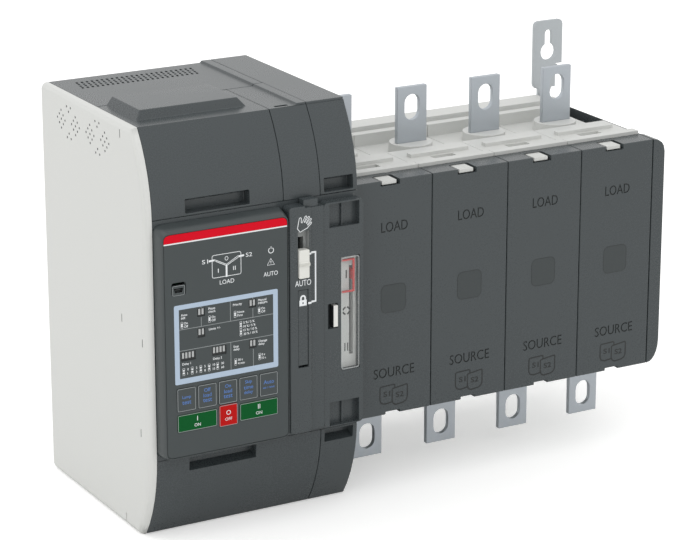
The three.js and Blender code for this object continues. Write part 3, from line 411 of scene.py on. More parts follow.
# ---- controller ---------------------------------------------------------------------------
# The controller is a dark plastic case that stands out of the front, with a printed film
# over its face. The case flares towards the front of the mechanism.


def ink(name, colour, spread, rough=(0.4, 0.5), **more):
    """Screen print: smoother than the film under it, and almost flat."""
    return moulded(name, colour, spread, grain=1500, rough=rough, bump=0.004, **more)


case_plastic = moulded("case_plastic", (63, 69, 70), spread=0.025, grain=1100, rough=(0.28, 0.36))
film_plastic = moulded(
    "film_plastic", (67, 73, 74), spread=0.02, grain=1400, rough=(0.4, 0.5), bump=0.006,
    Specular_IOR_Level=0.35,
)
red_ink = ink("red_ink", (214, 8, 34), 0.02, rough=(0.45, 0.55), Specular_IOR_Level=0.1)
white_ink = ink("white_ink", (235, 238, 240), 0.015)
grey_ink = ink("grey_ink", (150, 155, 156), 0.03)

case = cad_copy("controller_case", "controller_case_moulded")
round_edges(case, 0.3)
finish_piece(case, case_plastic)

face_low, face_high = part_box("controller_face")
face_middle = ((face_low.x + face_high.x) / 2 / MM, (face_low.z + face_high.z) / 2 / MM)
face_front = face_low.y / MM
film = cad_copy("controller_face", "controller_film")

# Windows in the film for the small switches: left, right, bottom and top from its middle.
switch_windows = [
    (-23.1, -17.4, 19.6, 25.6, 2), (17.1, 22.8, 19.6, 25.6, 2), (-23.1, -17.4, 4.2, 10.9, 2),
    (-36.2, -25.0, -11.0, -4.4, 4), (-12.1, -0.9, -11.0, -4.4, 4), (17.1, 22.8, -10.4, -4.2, 2),
]


def cut_with(piece, cutter, material_mode="INDEX"):
    apply_modifier(
        piece, "BOOLEAN", operation="DIFFERENCE", object=cutter, solver="EXACT",
        material_mode=material_mode,
    )
    bpy.data.objects.remove(cutter)


def round_corners(piece, radius, segments):
    """The four edges of a block that run along y get a radius, in millimetres."""
    edit_mode(piece)
    bpy.ops.mesh.select_mode(type="EDGE")
    bpy.ops.mesh.select_all(action="DESELECT")
    object_mode()
    for edge in piece.data.edges:
        ends = [piece.data.vertices[index].co for index in edge.vertices]
        way = ends[1] - ends[0]
        edge.select = abs(way.x) + abs(way.z) < 0.001 * MM
    edit_mode(piece)
    bpy.ops.mesh.bevel(offset=radius * MM, segments=segments, affect="EDGES")
    object_mode()


def on_film(x, z):
    return face_middle[0] + x, face_middle[1] + z


windows = []
for left, right, low, high, levers in switch_windows:
    x_left, z_low = on_film(left, low)
    x_right, z_high = on_film(right, high)
    depths = (face_front - 1, face_front + 0.75)
    windows.append(block("window", (x_left, x_right), depths, (z_low, z_high)))
cut_with(film, joined("windows", windows))

# The red header and the white line under it are printed on the film itself.
header_low, line_low, line_high = (face_middle[1] + z for z in (75.6, 74.6, 75.5))
edit_mode(film)
for level in (header_low, line_low, line_high):
    bpy.ops.mesh.select_all(action="SELECT")
    bpy.ops.mesh.bisect(plane_co=(0, 0, level * MM), plane_no=(0, 0, 1))
object_mode()
film.data.materials.append(film_plastic)
film.data.materials.append(red_ink)
film.data.materials.append(white_ink)
film.data.materials.append(case_plastic)
for face in film.data.polygons:
    height = face.center.z / MM
    if face.normal.y < -0.9 and face.center.y / MM < face_front + 0.1:
        if height > header_low:
            face.material_index = 1
        elif line_low < height < line_high:
            face.material_index = 2
round_edges(film, 0.12, segments=1)
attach(film, "housing")

# Each switch block is black, with pale levers that stand at the top or bottom of it.
switch_black = moulded("switch_black", (30, 33, 34), spread=0.05, grain=1500, rough=(0.45, 0.55))
lever_grey = moulded("lever_grey", (176, 178, 178), spread=0.03, grain=1500, rough=(0.4, 0.5))
lever_pitch = 2.54
lever_width = 1.6
lever_length = 4.3
lever_inset = 1.55
bodies, levers = [], []
for left, right, low, high, count in switch_windows:
    x_left, z_low = on_film(left, low)
    x_right, z_high = on_film(right, high)
    bodies.append(block(
        "switch_body", (x_left + 0.1, x_right - 0.1), (face_front + 0.5, face_front + 0.74),
        (z_low + 0.1, z_high - 0.1),
    ))
    for index in range(count):
        x = x_left + lever_inset + index * lever_pitch
        levers.append(block(
            "lever", (x - lever_width / 2, x + lever_width / 2),
            (face_front + 0.05, face_front + 0.52), (z_high - 0.4 - lever_length, z_high - 0.4),
        ))
switch_bodies = joined("switch_bodies", bodies)
round_edges(switch_bodies, 0.08, segments=1)
finish_piece(switch_bodies, switch_black)
switch_levers = joined("switch_levers", levers)
round_edges(switch_levers, 0.15)
finish_piece(switch_levers, lever_grey)


# ---- printed marks on the controller ------------------------------------------------------
# White and grey screen print: the diagram of the two sources and the load, the lamps'
# symbols, the frame and dividing lines of the settings, and their short legends.

INK = 0.05


def drawn_lines(name, lines, width, front):
    """Printed strokes: each line is a list of (x, z) points, closed when it ends at its start."""
    bpy.ops.object.select_all(action="DESELECT")
    bpy.ops.curve.primitive_bezier_curve_add()
    drawing = bpy.context.object
    drawing.location = (0, 0, 0)
    drawing.data.dimensions = "3D"
    drawing.data.splines.clear()
    for line in lines:
        closed = line[0] == line[-1]
        points = line[:-1] if closed else line
        spline = drawing.data.splines.new("POLY")
        spline.points.add(len(points) - 1)
        for point, (x, z) in zip(spline.points, points):
            point.co = (x * MM, 0, z * MM, 1)
        spline.use_cyclic_u = closed
    drawing.data.bevel_depth = width / 2 * MM
    drawing.data.bevel_resolution = 0
    drawing.data.use_fill_caps = True
    bpy.ops.object.convert(target="MESH")
    drawing = bpy.context.object
    drawing.name = name
    flatten = Matrix.Translation((0, front * MM, 0)) @ Matrix.Diagonal((1, INK / width, 1, 1))
    drawing.data.transform(flatten)
    edit_mode(drawing)
    bpy.ops.mesh.select_all(action="SELECT")
    bpy.ops.mesh.remove_doubles(threshold=0.0001 * MM)
    bpy.ops.mesh.normals_make_consistent(inside=False)
    bpy.ops.mesh.faces_shade_flat()
    object_mode()
    return drawing


def lettering(words, x, z, height, front, width=None, depth=INK, bold=0.0):
    """A word as a thin printed plate, centred on x and z, with its capitals of one height."""
    bpy.ops.object.select_all(action="DESELECT")
    bpy.ops.object.text_add()
    text = bpy.context.object
    text.data.body = words
    text.data.resolution_u = 3
    text.data.extrude = 0.5
    text.data.offset = bold
    bpy.ops.object.convert(target="MESH")
    text = bpy.context.object
    corners = [vertex.co for vertex in text.data.vertices]
    low = Vector((min(c.x for c in corners), min(c.y for c in corners), 0))
    high = Vector((max(c.x for c in corners), max(c.y for c in corners), 0))
    middle = (low + high) / 2
    tall = height * MM / (high.y - low.y)
    wide = width * MM / (high.x - low.x) if width else tall
    stand_up = Matrix.Rotation(math.radians(90), 4, "X")
    size = Matrix.Diagonal((wide, tall, depth * MM, 1))
    place = Matrix.Translation((x * MM, front * MM, z * MM))
    text.data.transform(place @ stand_up @ size @ Matrix.Translation((-middle.x, -middle.y, 0)))
    return text


def rounded_line(left, right, low, high, radius, steps=4):
    """The closed outline of a rounded rectangle as (x, z) points."""
    points = []
    corners = [(right, high, 0), (left, high, 90), (left, low, 180), (right, low, 270)]
    for x, z, start in corners:
        centre = (x - math.copysign(radius, x - (left + right) / 2),
                  z - math.copysign(radius, z - (low + high) / 2))
        for step in range(steps + 1):
            turn = math.radians(start + 90 * step / steps)
            points.append((centre[0] + radius * math.cos(turn), centre[1] + radius * math.sin(turn)))
    return points + points[:1]


def ring(x, z, radius, start=0, end=360, steps=20):
    turns = [math.radians(start + (end - start) * step / steps) for step in range(steps + 1)]
    points = [(x + radius * math.cos(turn), z + radius * math.sin(turn)) for turn in turns]
    if end - start == 360:
        points[-1] = points[0]
    return points


def shifted(lines):
    return [[on_film(x, z) for x, z in line] for line in lines]


film_top = face_front - INK / 2
diagram_thin = drawn_lines("diagram_lines", shifted([
    rounded_line(-11.1, 11.3, 45.8, 62.2, 1.4),
    [(-8.9, 58.9), (0.3, 54.2)], [(-8.6, 57.9), (0, 53.4)],
    [(9.0, 59.2), (-0.3, 54.2)], [(9.2, 58.1), (0, 53.4)],
]), 0.42, film_top)
diagram_thick = drawn_lines("diagram_bars", shifted([
    [(-13.7, 58.5), (-9.2, 58.7)], [(9.3, 58.7), (13.8, 58.9)], [(0, 53.9), (0, 45.3)],
]), 1.35, film_top)
symbols = drawn_lines("lamp_symbols", shifted([
    ring(35, 59.2, 2.0, 125, 415, 14), [(35, 60.4), (35, 62.0)],
    [(34.8, 53.2), (31.9, 48.6), (37.7, 48.6), (34.8, 53.2)], [(34.8, 51.6), (34.8, 50.2)],
    [(34.8, 49.6), (34.8, 49.3)],
]), 0.55, film_top)
words = [
    ("S1", -16.6, 58.6, 3.0, 4.7), ("S2", 17.6, 58.8, 3.0, 4.9), ("O", 0.1, 58.7, 3.1, 2.7),
    ("I", -6.4, 50.7, 2.9, 0.6), ("II", 6.1, 50.8, 2.9, 1.9), ("LOAD", 0.2, 41.9, 3.1, 11.2),
    ("AUTO", 34.6, 42.2, 3.2, 11.3),
]
texts = [lettering(word, *on_film(x, z), tall, film_top, wide) for word, x, z, tall, wide in words]
diagram = joined("controller_diagram", [diagram_thick, symbols, *texts])
finish_piece(diagram, white_ink)
finish_piece(diagram_thin, white_ink)

# The settings have a pale blue frame, and thin grey lines between their fields.
pale_blue_ink = ink("pale_blue_ink", (176, 193, 212), 0.01)
frame_outer = (-41.1, 40.0, -27.7, 30.3)
frame_inner = (-37.4, 36.3, -23.7, 26.9)
x_left, z_low = on_film(frame_outer[0], frame_outer[2])
x_right, z_high = on_film(frame_outer[1], frame_outer[3])
border = block("settings_frame", (x_left, x_right), (face_front - INK, face_front), (z_low, z_high))
round_corners(border, 1.2, 4)
x_left, z_low = on_film(frame_inner[0], frame_inner[2])
x_right, z_high = on_film(frame_inner[1], frame_inner[3])
cut_with(border, block(
    "opening", (x_left, x_right), (face_front - 1, face_front + 1), (z_low, z_high),
))
finish_piece(border, pale_blue_ink)

left, right, low, high = frame_inner
dividers = drawn_lines("settings_lines", shifted([
    [(left, 12.3), (right, 12.3)], [(left, -3.2), (right, -3.2)],
    [(2.5, 12.3), (2.5, high)], [(2.5, low), (2.5, -3.2)],
    [(-20.2, 12.3), (-20.2, 19.0)], [(-20.2, 26.0), (-20.2, high)],
    [(20.2, 12.3), (20.2, 19.0)], [(20.2, 26.0), (20.2, high)],
    [(20.2, low), (20.2, -11.0)],
]), 0.38, film_top)
finish_piece(dividers, grey_ink)

small_words = [
    ("Auto", -35.8, 22.8), ("set", -35.8, 20.6), ("On", -33.6, 16.6), ("Off", -33.6, 14.2),
    ("Phase", -14.6, 24.2), ("check", -14.6, 22.0), ("On", -12.2, 17.8), ("Off", -12.2, 15.4),
    ("Priority", 4.6, 23.6), ("None", 8.0, 18.0), ("First", 8.0, 15.6),
    ("Manual", 24.4, 24.2), ("return", 24.4, 22.0), ("On", 26.8, 17.8), ("Off", 26.8, 15.4),
    ("Limits +/-", -14.4, 9.2), ("5 % / 5 %", 12.6, 9.6), ("10 % / 5 %", 12.6, 6.8),
    ("15 % / 10 %", 12.6, 4.0), ("20 % / 10 %", 12.6, 1.2), ("Delay 1", -35.4, -13.4),
    ("Delay 2", -11.4, -13.4), ("0", -31.6, -17.4), ("2", -25.0, -17.4), ("5", -18.4, -17.4),
    ("10", -11.8, -17.4), ("30", -5.2, -17.4), ("1", -31.6, -20.4), ("3", -25.0, -20.4),
    ("8", -18.4, -20.4), ("15", -11.8, -20.4), ("60", -5.2, -20.4), ("Stop", 4.6, -7.2),
    ("delay", 4.6, -9.4), ("30 s", 8.0, -17.2), ("4 min", 8.0, -19.8), ("Change", 24.4, -6.4),
    ("delay", 24.4, -8.6), ("0 s", 26.8, -16.4), ("10 s", 26.8, -19.0),
]
cap_height = 1.7
legends = []
for word, x, z in small_words:
    tall = cap_height * (1.28 if any(c in "gpyj" for c in word) else 1)
    text = lettering(word, 0, 0, tall, film_top, bold=0.012)
    reach = min(vertex.co.x for vertex in text.data.vertices)
    place_x, place_z = on_film(x, z)
    text.data.transform(Matrix.Translation((place_x * MM - reach, 0, place_z * MM)))
    legends.append(text)
icon_places = [
    (-35.2, 16.6), (-35.2, 14.2), (-13.8, 17.8), (-13.8, 15.4), (6.2, 18.0), (6.2, 15.6),
    (25.2, 17.8), (25.2, 15.4), (6.2, -17.2), (6.2, -19.8), (25.2, -16.4), (25.2, -19.0),
    (10.6, 9.6), (10.6, 6.8), (10.6, 4.0), (10.6, 1.2), (-34.4, -17.4), (-34.4, -20.4),
    (-27.8, -17.4), (-27.8, -20.4), (-21.2, -17.4), (-21.2, -20.4), (-14.6, -17.4),
    (-14.6, -20.4), (-8.0, -17.4), (-8.0, -20.4),
]
for index, (x, z) in enumerate(icon_places):
    place_x, place_z = on_film(x, z)
    lift = 0.45 if index % 2 else -0.45
    legends.append(block("icon", (place_x - 0.55, place_x + 0.55), (face_front - INK, face_front),
                         (place_z - 0.5 + lift, place_z + 0.5 + lift)))
icon_frames = drawn_lines("icon_frames", shifted([
    rounded_line(x - 0.8, x + 0.8, z - 1.15, z + 1.15, 0.2, 1) for x, z in icon_places
]), 0.2, film_top)
setting_legends = joined("setting_legends", [*legends, icon_frames])
finish_piece(setting_legends, white_ink)


# ---- keys ---------------------------------------------------------------------------------
# Eight flat keys stand in the film: five dark ones with a printed outline, two green and a
# red one. Each moves by itself, so its outline and legend ride with it.

key_film = moulded(
    "key_film", (67, 73, 74), spread=0.02, grain=1400, rough=(0.4, 0.5), bump=0.006,
    Specular_IOR_Level=0.35,
)
green_ink = ink("green_ink", (6, 86, 38), 0.03, rough=(0.45, 0.55), Specular_IOR_Level=0.1)
key_red_ink = ink("key_red_ink", (184, 20, 18), 0.03, rough=(0.45, 0.55), Specular_IOR_Level=0.1)
blue_ink = ink("blue_ink", (84, 128, 200), 0.02)

key_legends = {
    "menu_key_1": (key_film, "panel_plastic", [("Lamp", 1.6, 2.9), ("test", -2.2, 2.5)]),
    "menu_key_2": (
        key_film, "panel_plastic", [("Off", 4.4, 2.7), ("load", 0.6, 2.7), ("test", -3.2, 2.5)],
    ),
    "menu_key_3": (
        key_film, "panel_plastic", [("On", 4.4, 2.6), ("load", 0.6, 2.7), ("test", -3.2, 2.5)],
    ),
    "menu_key_4": (
        key_film, "panel_plastic", [("Skip", 4.4, 3.1), ("time", 0.6, 2.7), ("delay", -3.4, 3.1)],
    ),
    "menu_key_5": (
        key_film, "panel_plastic", [("Auto", 1.8, 2.8), ("set / reset", -2.2, 1.6)],
    ),
    "on_1_key": (green_ink, "key_green", [("I", 2.2, 3.4), ("ON", -2.6, 2.3)]),
    "off_key": (key_red_ink, "key_red", [("O", 2.0, 3.4), ("OFF", -2.8, 2.3)]),
    "on_2_key": (green_ink, "key_green", [("II", 2.2, 3.4), ("ON", -2.6, 2.3)]),
}
for node, (material, slot, lines) in key_legends.items():
    key = cad_copy(node, f"{node}_cap")
    low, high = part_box(node)
    round_edges(key, 0.1, segments=1)
    edit_mode(key)
    bpy.ops.mesh.select_mode(type="FACE")
    bpy.ops.mesh.select_all(action="DESELECT")
    object_mode()
    for face in key.data.polygons:
        face.select = face.normal.y < -0.99
    edit_mode(key)
    bpy.ops.mesh.inset(thickness=0.38 * MM, depth=0)
    object_mode()
    key.data.materials.append(material)
    key.data.materials.append(grey_ink)
    for face in key.data.polygons:
        if face.normal.y < -0.99 and not face.select:
            face.material_index = 1
    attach(key, node)
    middle_x, middle_z = (low.x + high.x) / 2 / MM, (low.z + high.z) / 2 / MM
    key_front = low.y / MM - INK / 2
    texts = [
        lettering(word, middle_x, middle_z + lift, tall, key_front) for word, lift, tall in lines
    ]
    legend = joined(f"{node}_legend", texts)
    finish_piece(legend, blue_ink if material == key_film else white_ink, node)


# ---- service socket -----------------------------------------------------------------------
# A small service socket sits in a pocket at the left of the film: a plastic floor, a thin
# pressed steel shell with two slanted corners, and a black tongue inside it.

# Long fine streaks along one axis, as on drawn, rolled or machined metal.
def drawn_metal():
    group, given, made = node_group(
        "drawn_metal",
        [("Light", "NodeSocketColor"), ("Dark", "NodeSocketColor"),
         ("Stretch", "NodeSocketVector"), ("Smoothest", "NodeSocketFloat"),
         ("Roughest", "NodeSocketFloat")],
        [("Color", "NodeSocketColor"), ("Roughness", "NodeSocketFloat"),
         ("Height", "NodeSocketFloat")],
    )
    nodes, links = group.nodes, group.links
    place = nodes.new("ShaderNodeTexCoord")
    stretch = nodes.new("ShaderNodeVectorMath")
    stretch.operation = "MULTIPLY"
    streaks = nodes.new("ShaderNodeTexNoise")
    streaks.inputs["Scale"].default_value = 1
    streaks.inputs["Detail"].default_value = 4
    stains = nodes.new("ShaderNodeTexNoise")
    stains.inputs["Scale"].default_value = 60
    stains.inputs["Detail"].default_value = 3
    both = nodes.new("ShaderNodeMath")
    both.operation = "MULTIPLY_ADD"
    both.inputs[1].default_value = 0.6
    share = nodes.new("ShaderNodeMath")
    share.operation = "MULTIPLY"
    share.inputs[1].default_value = 0.4
    tint = nodes.new("ShaderNodeMix")
    tint.data_type = "RGBA"
    shine = nodes.new("ShaderNodeMapRange")
    links.new(place.outputs["Object"], stretch.inputs[0])
    links.new(given.outputs["Stretch"], stretch.inputs[1])
    links.new(stretch.outputs[0], streaks.inputs["Vector"])
    links.new(place.outputs["Object"], stains.inputs["Vector"])
    links.new(stains.outputs["Fac"], share.inputs[0])
    links.new(streaks.outputs["Fac"], both.inputs[0])
    links.new(share.outputs[0], both.inputs[2])
    links.new(both.outputs[0], tint.inputs["Factor"])
    links.new(given.outputs["Dark"], tint.inputs["A"])
    links.new(given.outputs["Light"], tint.inputs["B"])
    links.new(both.outputs[0], shine.inputs["Value"])
    links.new(given.outputs["Smoothest"], shine.inputs["To Min"])
    links.new(given.outputs["Roughest"], shine.inputs["To Max"])
    links.new(tint.outputs["Result"], made.inputs["Color"])
    links.new(shine.outputs["Result"], made.inputs["Roughness"])
    links.new(streaks.outputs["Fac"], made.inputs["Height"])
    return group


drawn_group = drawn_metal()


def metal(name, colour, stretch, spread=0.12, rough=(0.3, 0.42), bump=0.01, **more):
    """Bare or plated metal: stretch sets how many streaks and stains fit along each axis."""
    light = [min(1, part * (1 + spread)) for part in srgb(*colour)[:3]]
    dark = [part * (1 - spread) for part in srgb(*colour)[:3]]
    values = {
        "Light": (*light, 1), "Dark": (*dark, 1), "Stretch": stretch,
        "Smoothest": rough[0], "Roughest": rough[1],
    }
    return new_material(name, drawn_group, values, bump, **more)


socket_steel = metal("socket_steel", (150, 152, 154), (900, 900, 900), rough=(0.3, 0.4), Metallic=1.0)
socket_x, socket_z = on_film(-37.1, 41.0)
socket_floor = block(
    "socket_floor", (socket_x - 4.9, socket_x + 4.9), (face_front + 0.2, face_front + 4),
    (socket_z - 3.6, socket_z + 3.6),
)
opening = block(
    "opening", (socket_x - 3.7, socket_x + 3.7), (face_front - 1, face_front + 3.4),
    (socket_z - 1.5, socket_z + 1.6),
)
for vertex in opening.data.vertices:
    if vertex.co.z < socket_z * MM:
        vertex.co.x += (0.9 if vertex.co.x < socket_x * MM else -0.9) * MM
cut_with(socket_floor, opening)
round_edges(socket_floor, 0.15, segments=1)
finish_piece(socket_floor, film_plastic)
socket_rim = drawn_lines("socket_rim", [rounded_line(
    socket_x - 4.6, socket_x + 4.6, socket_z - 3.4, socket_z + 3.4, 0.9,
)], 0.3, face_front + 0.2 - INK / 2)
finish_piece(socket_rim, grey_ink)
shell_outline = [
    (-3.6, 1.5), (3.6, 1.5), (3.6, 0.4), (2.7, -1.4), (-2.7, -1.4), (-3.6, 0.4), (-3.6, 1.5),
]
shell = drawn_lines(
    "socket_shell", [[(socket_x + x, socket_z + z) for x, z in shell_outline]], 0.35, 0
)
shell_depth = 2.0
deepen = Matrix.Diagonal((1, shell_depth / INK, 1, 1))
shell.data.transform(Matrix.Translation((0, (face_front + 1.6) * MM, 0)) @ deepen)
finish_piece(shell, socket_steel)
tongue = block(
    "socket_tongue", (socket_x - 2.2, socket_x + 2.2), (face_front + 1.2, face_front + 3.3),
    (socket_z + 0.1, socket_z + 0.8),
)
round_edges(tongue, 0.1, segments=1)
finish_piece(tongue, switch_black)


# ---- operator column ----------------------------------------------------------------------
# The column right of the controller is moulded in dark plastic. It holds the slider for
# manual or automatic, the padlock slide, and a release tab at its top.

operator = cad_copy("operator_panel", "operator_column", quads=True)
column_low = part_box("operator_panel")[0]
column_front = column_low.y / MM
round_outline(operator, 1, column_low.y, 1.6, segments=4)
round_edges(operator, 0.25)
finish_piece(operator, dark_plastic)

slider_low, slider_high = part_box("mode_slider")
slider_x = (slider_low.x + slider_high.x) / 2 / MM
track_grey = moulded("track_grey", (150, 153, 152), spread=0.03, grain=1200, rough=(0.45, 0.55))
operator.data.materials.append(track_grey)
for face in operator.data.polygons:
    beside = slider_low.x - MM < face.center.x < slider_high.x + MM
    along = slider_low.z - MM < face.center.z < slider_high.z + 14 * MM
    if beside and along and face.center.y > column_low.y + 0.3 * MM:
        face.material_index = 1
knob_white = moulded("knob_white", (226, 226, 220), spread=0.02, grain=900, rough=(0.4, 0.5))
slider = cad_copy("mode_slider", "mode_slider_knob")
soften_edges(slider, 0.9, segments=3)
rib_z = (slider_low.z + slider_high.z) / 2 / MM
rib_cuts = [
    block(
        "rib_cut", (slider_low.x / MM - 1, slider_high.x / MM + 1),
        (slider_low.y / MM - 1, slider_low.y / MM + 0.45), (rib_z + z - 0.25, rib_z + z + 0.25),
    )
    for z in (-0.8, 0, 0.8)
]
cut_with(slider, joined("rib_cuts", rib_cuts))
shade(slider)
finish_piece(slider, knob_white, "mode_slider")

lock_low, lock_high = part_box("padlock_slide")
lock = cad_copy("padlock_slide", "padlock_slide_moulded")
round_edges(lock, 0.35)
finish_piece(lock, dark_plastic, "padlock_slide")
lock_x = (lock_low.x + lock_high.x) / 2 / MM
lock_front = lock_low.y / MM - INK / 2
lock_top = lock_high.z / MM
lock_body = block(
    "lock_body", (lock_x - 2.9, lock_x + 2.9), (lock_front - INK / 2, lock_front + INK / 2),
    (lock_top - 11.7, lock_top - 7.4),
)
cut_with(lock_body, block(
    "keyhole_cut", (lock_x - 0.5, lock_x + 0.5), (lock_front - 1, lock_front + 1),
    (lock_top - 10.3, lock_top - 9.0),
))
shackle = drawn_lines("shackle", [[
    (lock_x - 1.7, lock_top - 7.4), *reversed(ring(lock_x, lock_top - 6.0, 1.7, 0, 180, 10)),
    (lock_x + 1.7, lock_top - 7.4),
]], 1.25, lock_front)
lock_mark = joined("padlock_mark", [lock_body, shackle])
finish_piece(lock_mark, white_ink, "padlock_slide")

release = cad_copy("release_tab", "release_tab_moulded")
round_edges(release, 0.5)
finish_piece(release, dark_plastic, "release_tab")

# Printed on the column: an open hand above the slider, a word under it, and a bracket that
# joins the slider and the padlock slide.
column_ink = column_front - INK / 2
hand_x, hand_z = slider_x - 5.2, slider_high.z / MM + 13.3
hand = [
    (2.4, 0.0), (0.3, 2.6), (1.0, 6.6), (1.8, 10.2), (2.9, 10.6), (3.4, 9.8), (3.3, 6.9),
    (4.0, 6.5), (6.4, 10.9), (7.3, 11.2), (7.6, 10.4), (5.7, 6.9), (6.1, 6.6), (8.9, 10.4),
    (9.8, 10.5), (9.9, 9.8), (7.3, 6.0), (7.6, 5.6), (10.6, 8.8), (11.3, 8.7), (11.3, 8.0),
    (8.3, 4.6), (8.6, 4.2), (11.0, 6.3), (11.5, 6.0), (11.4, 5.3), (8.0, 2.2), (2.4, 0.0),
]
hand_mark = drawn_lines("hand_mark", [[(hand_x + x, hand_z + z) for x, z in hand]], 0.55, column_ink)
auto_word = lettering("AUTO", slider_x - 0.6, slider_low.z / MM - 3.4, 4.3, column_ink, 12.8)
bracket_top, bracket_low = slider_high.z / MM - 3.6, lock_top - 10.2
dots = drawn_lines("bracket_dots", [
    [(slider_x + 3.4, bracket_top), (slider_x + 6.0, bracket_top)],
    [(slider_x + 3.4, bracket_low), (slider_x + 6.0, bracket_low)],
], 1.5, column_ink)
column_marks = joined("column_marks", [hand_mark, auto_word, dots])
finish_piece(column_marks, white_ink)
strip_front = column_front + 2
bracket_x = slider_x + 10.5
bracket = drawn_lines("bracket_mark", [[
    (bracket_x - 3.4, bracket_top), (bracket_x, bracket_top), (bracket_x, bracket_low),
    (bracket_x - 3.4, bracket_low),
]], 1.6, strip_front - INK / 2)
finish_piece(bracket, white_ink)


# ---- indicator panel ----------------------------------------------------------------------
# The narrow panel beside the poles shows which source is joined. Behind its clear window a
# red frame slides over a grey label with the marks I, O and II.

indicator = cad_copy("indicator_panel", "indicator_panel_moulded", quads=True)
round_edges(indicator, 0.3)
finish_piece(indicator, dark_plastic)

label_grey = moulded("label_grey", (200, 202, 199), spread=0.02, grain=1200, rough=(0.45, 0.55))
label_ink = moulded("label_ink", (34, 38, 38), spread=0.03, grain=1200, rough=(0.45, 0.55))
window_low, window_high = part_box("indicator_window")
label_front = -173.55
indicator.data.materials.append(label_grey)
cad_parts["front_fascia"].data.materials.append(label_grey)
for panel in (indicator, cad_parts["front_fascia"]):
    for face in panel.data.polygons:
        inside = (
            window_low.x < face.center.x < window_high.x
            and window_low.z - 0.3 * MM < face.center.z < window_high.z + 0.3 * MM
            and face.center.y > window_high.y
        )
        if inside:
            face.material_index = 1
label_left, label_right = window_low.x / MM + 0.2, window_low.x / MM + 9.0
label = block(
    "indicator_label", (label_left, label_right), (label_front, label_front + 0.2),
    (window_low.z / MM + 0.4, window_high.z / MM - 0.4),
)
round_edges(label, 0.05, segments=1)
finish_piece(label, label_grey)
mark_x = label_right - 2.0
mark_pitch = 27.5
marks = [
    lettering("I", mark_x, mark_pitch, 6.2, label_front - INK / 2, 1.1),
    lettering("II", mark_x, -mark_pitch, 6.2, label_front - INK / 2, 3.2),
    drawn_lines(
        "zero", [ring(mark_x, 0, 2.7, start, start + 66, 6) for start in (12, 102, 192, 282)],
        1.3, label_front - INK / 2,
    ),
]
label_marks = joined("indicator_marks", marks)
finish_piece(label_marks, label_ink)

pointer_red = moulded("pointer_red", (196, 52, 50), spread=0.04, grain=900, rough=(0.4, 0.5))
tab_white = moulded("tab_white", (228, 228, 224), spread=0.02, grain=900, rough=(0.4, 0.5))
pointer = cad_copy("position_pointer", "position_pointer_moulded", quads=True)
round_edges(pointer, 0.15, segments=1)
finish_piece(pointer, pointer_red, "position_pointer")
interlock = cad_copy("interlock_tab", "interlock_tab_moulded")
round_edges(interlock, 0.3)
finish_piece(interlock, tab_white, "interlock_tab")
interlock.data.materials.append(switch_black)
for face in interlock.data.polygons:
    if face.normal.x < -0.9:
        face.material_index = 1

window_clear = moulded(
    "window_clear", (236, 240, 240), spread=0.005, grain=300, rough=(0.04, 0.09), bump=0.002,
    Alpha=0.05,
)
# A light grey line round the edge of the clear window is a painted highlight: the bright rim that
# light gives the clear plastic.
rim_highlight = moulded("rim_highlight", (206, 210, 210), spread=0.01, grain=300, rough=(0.1, 0.2))
window = cad_copy("indicator_window", "indicator_window_clear")
round_edges(window, 0.5, segments=3)
finish_piece(window, window_clear)
window_rim_highlight = drawn_lines("window_rim_highlight", [rounded_line(
    window_low.x / MM + 0.35, window_high.x / MM - 0.35, window_low.z / MM + 0.4,
    window_high.z / MM - 0.4, 1.5,
)], 0.35, window_low.y / MM)
finish_piece(window_rim_highlight, rim_highlight)


# ---- pole housings ------------------------------------------------------------------------
# Four identical pole housings of glass-filled off-white plastic stand side by side. Their
# ends are stepped, with rails, and a collar round each load terminal.

pole_white = moulded("pole_white", (204, 205, 202), spread=0.02, grain=800, rough=(0.4, 0.5))
pole_count = 4
for number in range(1, pole_count + 1):
    housing = cad_copy(f"pole_housing_{number}", f"pole_housing_{number}_moulded", quads=True)
    round_edges(housing, 0.3)
    finish_piece(housing, pole_white)
